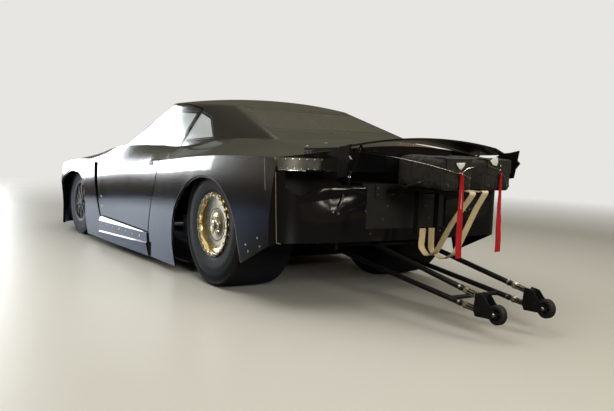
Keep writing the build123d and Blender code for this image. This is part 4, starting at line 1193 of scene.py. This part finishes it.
cable_start = on_plane(368.7, 153.2, 1.060)
cable_along_pack = ((388.0, 155.8, 0.352), (407.0, 159.8, 0.306), (425.0, 163.8, 0.297),
                    (440.0, 168.0, 0.296))
cable_line = [cable_start] + [on_side(*pixel) for pixel in cable_along_pack]
cable_line += [on_plane(448.5, 170.4, 1.600), on_plane(458.0, 173.8, 1.602)]
free_cord("release_cable", cable_line, 0.003, steel_paint)
string_top = on_plane(462.2, 175.0, 1.606)
string_low = on_plane(460.6, 209.0, 1.606)
string_line = [string_top, string_top.lerp(string_low, 0.3) + Vector((0.003, 0, 0)),
               string_top.lerp(string_low, 0.7) - Vector((0.002, 0, 0)), string_low]
free_cord("pull_string", string_line, 0.005, white_paint)

# Fittings of the pins, by pixels of the photograph on planes behind the packs
clamp_line = ((458.2, 173.2, 1.600), (460.4, 173.6, 1.604), (463.0, 175.2, 1.604))
left_loops = (((461.5, 174.0), (466.0, 169.5), (470.0, 167.6), (474.0, 167.3)),
              ((461.5, 174.0), (465.5, 176.0), (470.8, 178.4)))
right_loops = (((488.5, 165.8), (494.0, 168.2), (500.2, 170.4)),
               ((501.0, 171.5), (506.0, 180.0), (507.2, 189.6)))
beads = ((500.5, 165.8), (500.4, 170.2))
bead_section = ((-0.0055, 0.001), (-0.004, 0.0045), (0, 0.006), (0.004, 0.0045), (0.0055, 0.001))
fittings = Form()
fittings.tube([on_plane(*pixel) for pixel in clamp_line], [0.0035, 0.0065, 0.0045], 12)
for loops, y in ((left_loops, 1.600), (right_loops, 1.598)):
    for loop in loops:
        fittings.tube(smooth_run([on_plane(u, v, y) for u, v in loop], 2), 0.0022, 8)
for u, v in beads:
    fittings.lathe(bead_section, on_plane(u, v, 1.598), 16)
for sign in (1, -1):
    x = sign * 0.160
    fittings.tube([(x, rear_axle_y + 1.586, 0.890), (x, rear_axle_y + 1.6095, 0.890)], 0.0052, 12)
fittings.piece("pin_fittings", "bare_metal", paint=steel_paint)
cable_guide = Form()
guide_line = ((0.020, -0.050, 0.064), (0.019, -0.047, 0.030), (0.012, -0.028, 0.006),
              (-0.003, 0.006, -0.0005))
cable_guide.tube(smooth_run([cable_start + Vector(v) for v in guide_line], 3), 0.0048, 12)
cable_guide.piece("cable_guide", "black_plastic")
handle = Form()
handle_line = ((405.0, 187.6, 0.279), (406.5, 186.8, 0.296), (413.5, 184.6, 0.302), (420.0, 182.6, 0.296),
               (421.5, 182.2, 0.279))
handle.tube(smooth_run([on_side(*pixel) for pixel in handle_line], 3), 0.0085, 12)
handle.join(handle.mirrored())
handle.piece("pack_handles", "black_fabric", paint=paints["black_plastic"])


# Seams, rivets and fittings of the body, set on the panels that carry them


def pixel_run(nodes, ends, steps):
    """Hits along a run of pixels."""
    hits = []
    for (ua, va), (ub, vb) in zip(ends, ends[1:]):
        for i in range(steps + 1):
            share = i / steps
            hit = seen(nodes, ua + (ub - ua) * share, va + (vb - va) * share)
            if hit and (not hits or (hit[0] - hits[-1][0]).length > 0.0005):
                hits.append(hit)
    return hits


def side_line(nodes, places, width, height, steps=40):
    """Raised line on the left side through places (y, z)."""
    form = Form()
    hits = []
    for p in between([(0.0, y, z) for y, z in places], steps):
        hit = from_side(nodes, p.y, p.z)
        if hit and (not hits or (hit[0] - hits[-1][0]).length < 0.3):
            hits.append(hit)
    laid_strip(form, hits, width, height)
    return form


tail_nodes = ("quarter_left", "rear_bumper", "tail_deck")
flange_pixels = ((275.6, 172.0), (275.9, 210.0), (276.4, 243.0), (288.0, 246.5))
corner_pixels = ((264.4, 156.0), (265.2, 190.0))
door_shut_line = ((-0.893, 0.970), (-0.922, 0.712), (-1.041, 0.262))
# Light brown strips on the tail's seams and the door's shut line: raw edge and painted highlight
seams = Form()
laid_strip(seams, pixel_run(tail_nodes, flange_pixels, 24), 0.0042, 0.0008)
laid_strip(seams, pixel_run(tail_nodes, corner_pixels, 16), 0.0048, 0.0010)
seams.join(side_line(("quarter_left", "roof_shell"), door_shut_line, 0.0044, 0.0009, 60))
seams.pair("tail_seams", "body_black", edge_and_highlight_paint)


def arc_points(start, middle, end, count):
    """Points on the arc through three places (y, z)."""
    (ax, ay), (bx, by), (cx, cy) = start, middle, end
    d = 2 * (ax * (by - cy) + bx * (cy - ay) + cx * (ay - by))
    a_square, b_square, c_square = ax * ax + ay * ay, bx * bx + by * by, cx * cx + cy * cy
    ux = (a_square * (by - cy) + b_square * (cy - ay) + c_square * (ay - by)) / d
    uy = (a_square * (cx - bx) + b_square * (ax - cx) + c_square * (bx - ax)) / d
    r = hypot(ax - ux, ay - uy)
    a0, a1, a2 = (atan2(y - uy, x - ux) for x, y in (start, middle, end))
    while a1 - a0 > pi:
        a1 -= 2 * pi
    while a1 - a0 < -pi:
        a1 += 2 * pi
    while a2 - a1 > pi:
        a2 -= 2 * pi
    while a2 - a1 < -pi:
        a2 += 2 * pi
    return [(ux + r * cos(a0 + (a2 - a0) * i / count), uy + r * sin(a0 + (a2 - a0) * i / count))
            for i in range(count + 1)]


# Folded edges of the arches, laid with light brown strips as a painted highlight
edge = Form()
grow = 0.003
arch = arc_points((-0.535 - grow, 0.480), (-0.060, 0.765 + grow), (0.415 + grow, 0.465), 48)
arch += [(0.452 + grow, 0.352), (0.490 + grow, 0.240), (0.520 + grow, 0.168)]
edge.join(side_line(("quarter_left",), arch, 0.0030, 0.0008, 90))
ahead = front_axle_y - rear_axle_y
crown = (ahead, 0.635 + grow)
front_arch = arc_points((ahead - 0.510 - grow, 0.250), (ahead - 0.363 - grow, 0.530), crown, 30)
front_arch += arc_points(crown, (ahead + 0.290 + grow, 0.532), (ahead + 0.390 + grow, 0.250), 30)[1:]
edge.join(side_line(("front_clip",), front_arch, 0.0030, 0.0008, 110))
edge.pair("arch_edge_highlights", "body_black", edge_and_highlight_paint)

# Rivets and quarter-turn fasteners
studs = Form()


def side_studs(nodes, places, radius, height):
    """Domed studs on the left side at places (y, z)."""
    for y, z in places:
        studs.stud_on(from_side(nodes, y, z), radius, height, 12, 0.8)


quarter_studs = ((0.56, 0.37), (0.73, 0.38), (0.59, 0.33), (0.70, 0.43))
clip_studs = ((-2.20, 0.42), (-2.26, 0.52), (-2.32, 0.62), (-2.62, 0.745), (-3.20, 0.30))
side_studs(("quarter_left", "rear_bumper"), quarter_studs, 0.0065, 0.004)
side_studs(("sills",), [(-1.95 + 0.15 * i, 0.20) for i in range(6)], 0.0055, 0.0035)
side_studs(("front_clip",), clip_studs, 0.0065, 0.004)
side_studs(("door_left",), ((-2.10, 0.36), (-2.13, 0.44)), 0.0055, 0.003)
for x, y in ((0.30, -2.52), (0.60, -2.53), (0.10, -2.52), (0.45, -3.35), (0.15, -3.40)):
    studs.stud_on(from_top(("front_clip",), x, y), 0.010, 0.004, 24, 0.9)
for x, y in ((0.20, 0.66), (0.45, 0.665), (0.62, 0.70), (0.66, 0.80), (0.30, 0.67)):
    studs.stud_on(from_top(("tail_deck",), x, y), 0.0065, 0.0035, 12, 0.8)
studs.pair("panel_rivets", "bare_metal", steel_paint)

# Bare closing plate on the tail's edge: a sheet, its bright lower fold and rivets
plate_nodes = ("tail_deck", "quarter_left", "rear_bumper", "tail_panel")
plate_left, plate_right = (274.5, 157.0), (322.0, 158.6)
plate_lean, plate_drop, plate_extra_drop = 4.0, 12.6, 0.6
plate_rows = []
plate_studs = Form()
for i in range(33):
    share = i / 32
    row = []
    for j in range(9):
        down = j / 8
        u = plate_left[0] + (plate_right[0] - plate_left[0]) * share + plate_lean * down * (1 - share)
        v = plate_left[1] + (plate_right[1] - plate_left[1]) * share
        v += (plate_drop + plate_extra_drop * share) * down
        row.append(seen(plate_nodes, u, v))
    plate_rows.append(row)
plate_rows = [row for row in plate_rows if all(row)]
closing = Form()
if len(plate_rows) > 1:
    closing.rows([[h[0] + h[1] * 0.0016 for h in row] + [h[0] - h[1] * 0.0008 for h in reversed(row)]
                  for row in plate_rows], caps=True)
    fold = [row[-1][0] + row[-1][1] * 0.0020 for row in plate_rows]
    plate_studs.tube(fold, 0.0026, 8)
    for i in range(2, len(plate_rows), 5):
        for j in (1, 7):
            plate_studs.stud_on(plate_rows[i][j], 0.0038, 0.0025, 12, 0.8, 0.0014)
closing.pair("closing_plate", "body_black", plate_paint)
plate_studs.pair("closing_plate_fold", "bare_metal", steel_paint)

# Flange bolts and panel bolts on the tail
tail_bolts = Form()
for x, z in ((0.135, 0.716), (0.135, 0.757), (0.255, 0.716), (0.255, 0.757), (0.160, 0.640), (0.300, 0.470),
             (0.200, 0.560)):
    for sign in (1, -1):
        tail_bolts.stud_on(from_rear(("tail_panel", "rear_bumper"), sign * x, z), 0.0062, 0.005)
tail_bolts.piece("tail_bolts", "bare_metal", paint=dark_steel_and_shade_paint)

# Brackets under the stays, with two bolts at the foot of each
brackets, bracket_bolts = Form(), Form()
spine_pixels = ((343.0, 193.5), (341.5, 199.0), (338.5, 206.0), (336.0, 212.5))
spine_lifts = (0.004, 0.013, 0.013, 0.004)
spine = [seen(("rear_bumper",), u, v) for u, v in spine_pixels]
if all(spine):
    line = [place + normal * lift for (place, normal), lift in zip(spine, spine_lifts)]
    brackets.tube(smooth_run(line, 3), 0.0062, 10)
for u, v in ((333.2, 212.2), (338.4, 213.6)):
    hit = seen(("rear_bumper",), u, v)
    brackets.stud_on(hit, 0.0115, 0.0025, 20)
    bracket_bolts.stud_on(hit, 0.0062, 0.006, lift=0.002)
brackets.pair("stay_brackets", "frame_black")
bracket_bolts.pair("bracket_bolts", "bare_metal", steel_paint)

# Spoiler details: clevises on the stays
clevis = Form()
for sign in (1, -1):
    foot = Vector((sign * 0.475, rear_axle_y + 0.953, 0.827))
    head = Vector((sign * 0.520, rear_axle_y + 1.132, 1.044))
    run = (head - foot).normalized()
    for start, end in ((0.012, 0.052), (0.205, 0.245)):
        path = [foot + run * (start + (end - start) * k / 6) for k in range(7)]
        clevis.tube(path, [0.0078, 0.0098, 0.0098, 0.0086, 0.0098, 0.0098, 0.0078], 6)
    clevis.stud(foot + Vector((sign * 0.0055, 0, 0)), (sign, 0, 0), 0.0075, 0.007)
    clevis.stud(foot - Vector((sign * 0.0055, 0, 0)), (-sign, 0, 0), 0.0075, 0.007)
clevis.piece("stay_clevises", "bare_metal", paint=steel_paint)


# Window frames: thin black strips with screws along the edge of each panel
def framed(form, bolts, nodes, outline, width, every):
    """Strip inside an outline (y, z) on the side glass."""
    ring = between(outline + outline[:1], 96)
    hits = [from_side(nodes, p.y, p.z) for p in ring]
    laid_strip(form, hits, width, 0.0016)
    for hit in hits[::every]:
        bolts.stud_on(hit, 0.0036, 0.0022, 12, 0.8, 0.0014)


door_sheet = ((-2.235, 0.905), (-1.490, 1.245), (-0.792, 1.222), (-0.912, 0.972))
quarter_sheet = ((-0.872, 0.985), (-0.752, 1.224), (-0.580, 1.180), (-0.415, 1.022))

for sign, side in both_sides:
    for name, nodes, outline, body in (
            ("door", ("door_left", "door_glass_left"), door_sheet, f"door_{side}"),
            ("quarter", ("quarter_glass", "roof_shell", "quarter_left"), quarter_sheet, "car")):
        strip, bolts = Form(), Form()
        framed(strip, bolts, nodes, [Vector((0.0, y, z)) for y, z in outline], 0.005, 7)
        if sign < 0:
            strip, bolts = strip.mirrored(), bolts.mirrored()
        strip.piece(f"{name}_window_edge_{side}", "black_plastic", body)
        bolts.piece(f"{name}_window_screws_{side}", "bare_metal", body, paint=dark_steel_and_shade_paint)

rear_edge = ((0.560, 1.112), (0.458, 1.250), (-0.458, 1.250), (-0.560, 1.112))
front_edge = ((0.540, 0.985), (0.458, 1.262), (-0.458, 1.262), (-0.540, 0.985))
screen_frame, screen_bolts = Form(), Form()
for nodes, find, outline in (("rear_window", from_rear, rear_edge), ("windscreen", from_front, front_edge)):
    ring = between([(x, 0.0, z) for x, z in outline + outline[:1]], 120)
    hits = [find((nodes,), p.x, p.z) for p in ring]
    laid_strip(screen_frame, hits, 0.010, 0.0014)
    for hit in hits[::5]:
        screen_bolts.stud_on(hit, 0.0040, 0.0024, 12, 0.8, 0.0014)
screen_frame.piece("screen_frames", "black_plastic")
screen_bolts.piece("screen_screws", "bare_metal", paint=dark_steel_and_shade_paint)

# Nose: intake mesh panel and covered lamps
nose = Form()
for row in range(9):
    z = 0.26 + row * 0.016
    hits = [from_front(("front_clip",), -0.42 + 0.84 * i / 28, z) for i in range(29)]
    laid_strip(nose, hits, 0.006, 0.003)
for column in range(22):
    x = -0.42 + 0.04 * column
    hits = [from_front(("front_clip",), x, 0.255 + 0.0135 * i) for i in range(11)]
    laid_strip(nose, hits, 0.004, 0.0025)
nose.piece("nose_grille", "black_plastic")
lamps = Form()
for sign in (1, -1):
    rows = []
    for ring, lift in ((1.0, 0.0005), (0.96, 0.004), (0.80, 0.006), (0.4, 0.0085)):
        row = []
        for a in turns(36):
            x = sign * (0.560 + 0.120 * ring * cos(a))
            z = 0.500 + (0.034 + 0.010 * cos(a)) * ring * sin(a)
            hit = from_front(("front_clip",), x, z)
            row.append(hit[0] + hit[1] * lift if hit else Vector((x, -3.2, z)))
        rows.append(row)
    lamps.rows(rows, caps=True)
lamps.piece("nose_lamps", "clear_panel")

# Door latch cups, with a flush lever
for sign, side in both_sides:
    latch = Form()
    hit = from_side(("door_left",), -1.06, 0.80)
    if hit:
        place, normal = hit
        along = Vector((0, 1, 0))
        along = (along - normal * along.dot(normal)).normalized()
        over = normal.cross(along)
        rows = []
        for size, lift in ((1.0, -0.001), (1.0, 0.002), (0.9, 0.003), (0.82, 0.0005)):
            rows.append([place + (along * (0.045 * cos(a)) + over * (0.020 * sin(a))) * size + normal * lift
                         for a in turns(40)])
        latch.rows(rows, caps=True)
        lever = [place + along * a + over * b for a, b in ((-0.028, -0.006), (0.026, -0.006), (0.030, 0.0),
                                                           (0.026, 0.006), (-0.028, 0.006), (-0.032, 0.0))]
        latch.slab(lever, normal * 0.004, 0.003)
    (latch if sign > 0 else latch.mirrored()).piece(f"door_latch_{side}", "black_plastic", f"door_{side}")


# Room
def floor():
    """Floor that fades into the backdrop, pale to the camera and a cool grey in reflections."""
    paint = Paint("floor", (0.62, 0.61, 0.58), 0.4, specular_ior_level=0.15)
    paths = paint.node("ShaderNodeLightPath")
    camera_ray = paint.flow(paths, 0)
    spots = paint.noise(1.4, 5.0, 0.6) * 0.5 + paint.noise(60.0, 2.0) * 0.5
    pale = paint.mix(spots, (0.60, 0.59, 0.56), (0.66, 0.65, 0.62))
    x, y = paint.axis("X"), paint.axis("Y")
    rearwards = (y + x.math("ABSOLUTE") * 1.18).ramp(1.0, 2.2)
    seen_by_gloss = paint.mix(rearwards, (0.12, 0.21, 0.45), (0.045, 0.042, 0.036))
    paint.tint(camera_ray, seen_by_gloss, pale)
    far = ((x * x + y * y) ** 0.5).ramp(5.0, 11.0)
    clear = paint.node("ShaderNodeBsdfTransparent")
    fade = paint.node("ShaderNodeMixShader", None, {0: far})
    paint.tree.links.new(paint.surface.outputs[0], fade.inputs[1])
    paint.tree.links.new(clear.outputs[0], fade.inputs[2])
    paint.tree.links.new(fade.outputs[0], paint.tree.nodes["Material Output"].inputs[0])
    mesh = bpy.data.meshes.new("floor")
    reach = 12.0
    mesh.from_pydata([(-reach, -reach, 0), (reach, -reach, 0), (reach, reach, 0), (-reach, reach, 0)], [],
                     [(0, 1, 2, 3)])
    mesh.materials.append(paint.material)
    placed("floor", mesh)


def lamp(name, place, target, size, power, colour=(1.0, 1.0, 1.0)):
    """Soft rectangular lamp aimed at a point."""
    data = bpy.data.lights.new(name, "AREA")
    data.shape = "RECTANGLE"
    data.size, data.size_y = size
    data.energy = power
    data.color = colour
    obj = placed(name, data)
    aim = Vector(target) - Vector(place)
    obj.matrix_world = Matrix.Translation(place) @ aim.to_track_quat("-Z", "Y").to_matrix().to_4x4()
    return obj


def camera():
    """The photograph's viewpoint."""
    data = bpy.data.cameras.new("camera")
    data.sensor_width = 36.0
    data.lens = focal_pixels / image_size[0] * data.sensor_width
    data.clip_end = 200.0
    obj = placed("camera", data)
    turn = Matrix((camera_right, camera_up, -camera_ahead)).transposed().to_4x4()
    obj.matrix_world = Matrix.Translation(camera_place) @ turn
    bpy.context.scene.camera = obj


def world():
    """Pale backdrop for the camera; a dim warm room, lighter overhead, for light and reflections."""
    light = bpy.data.worlds.new("room")
    bpy.context.scene.world = light
    light.use_nodes = True
    tree = Tree(light.node_tree)
    back = light.node_tree.nodes["Background"]
    paths = tree.node("ShaderNodeLightPath")
    up = tree.axis("Z", tree.flow(tree.node("ShaderNodeTexCoord"), 0))
    room = tree.mix(up.ramp(-0.05, 0.55), (0.055, 0.050, 0.040), (0.20, 0.185, 0.13))
    band = up.ramp(-0.01, 0.03) * (1.0 - up.ramp(0.07, 0.13))
    room = tree.mix(band * 0.8, room, (0.22, 0.14, 0.07))
    tree.put(back.inputs["Color"], tree.mix(tree.flow(paths, 0), room, (0.80, 0.79, 0.76)))
    tree.put(back.inputs["Strength"], 1.0)


floor()
world()
camera()
lamp("overhead", (0.6, 0.5, 4.4), (0.0, 0.3, 0.0), (4.5, 7.0), 190.0, (1.0, 0.97, 0.90))
front = lamp("front_panel", (3.2, -12.0, 2.8), (3.2, 0.0, 2.8), (8.2, 3.4), 980.0, (0.90, 0.95, 1.0))
front.visible_camera = False
lamp("rear_left", (3.0, 9.2, 3.3), (0.2, 1.8, 0.6), (3.0, 1.8), 330.0, (1.0, 0.95, 0.85))
for number, (y, z) in enumerate(((4.9, 3.8), (5.7, 3.0))):
    tube = lamp(f"tube_{number}", (-1.9, y, z), (0.5, 1.8, 0.7), (1.7, 0.12), 22.0, (1.0, 0.93, 0.78))
    tube.visible_camera = False

bpy.context.scene.view_settings.view_transform = "Standard"
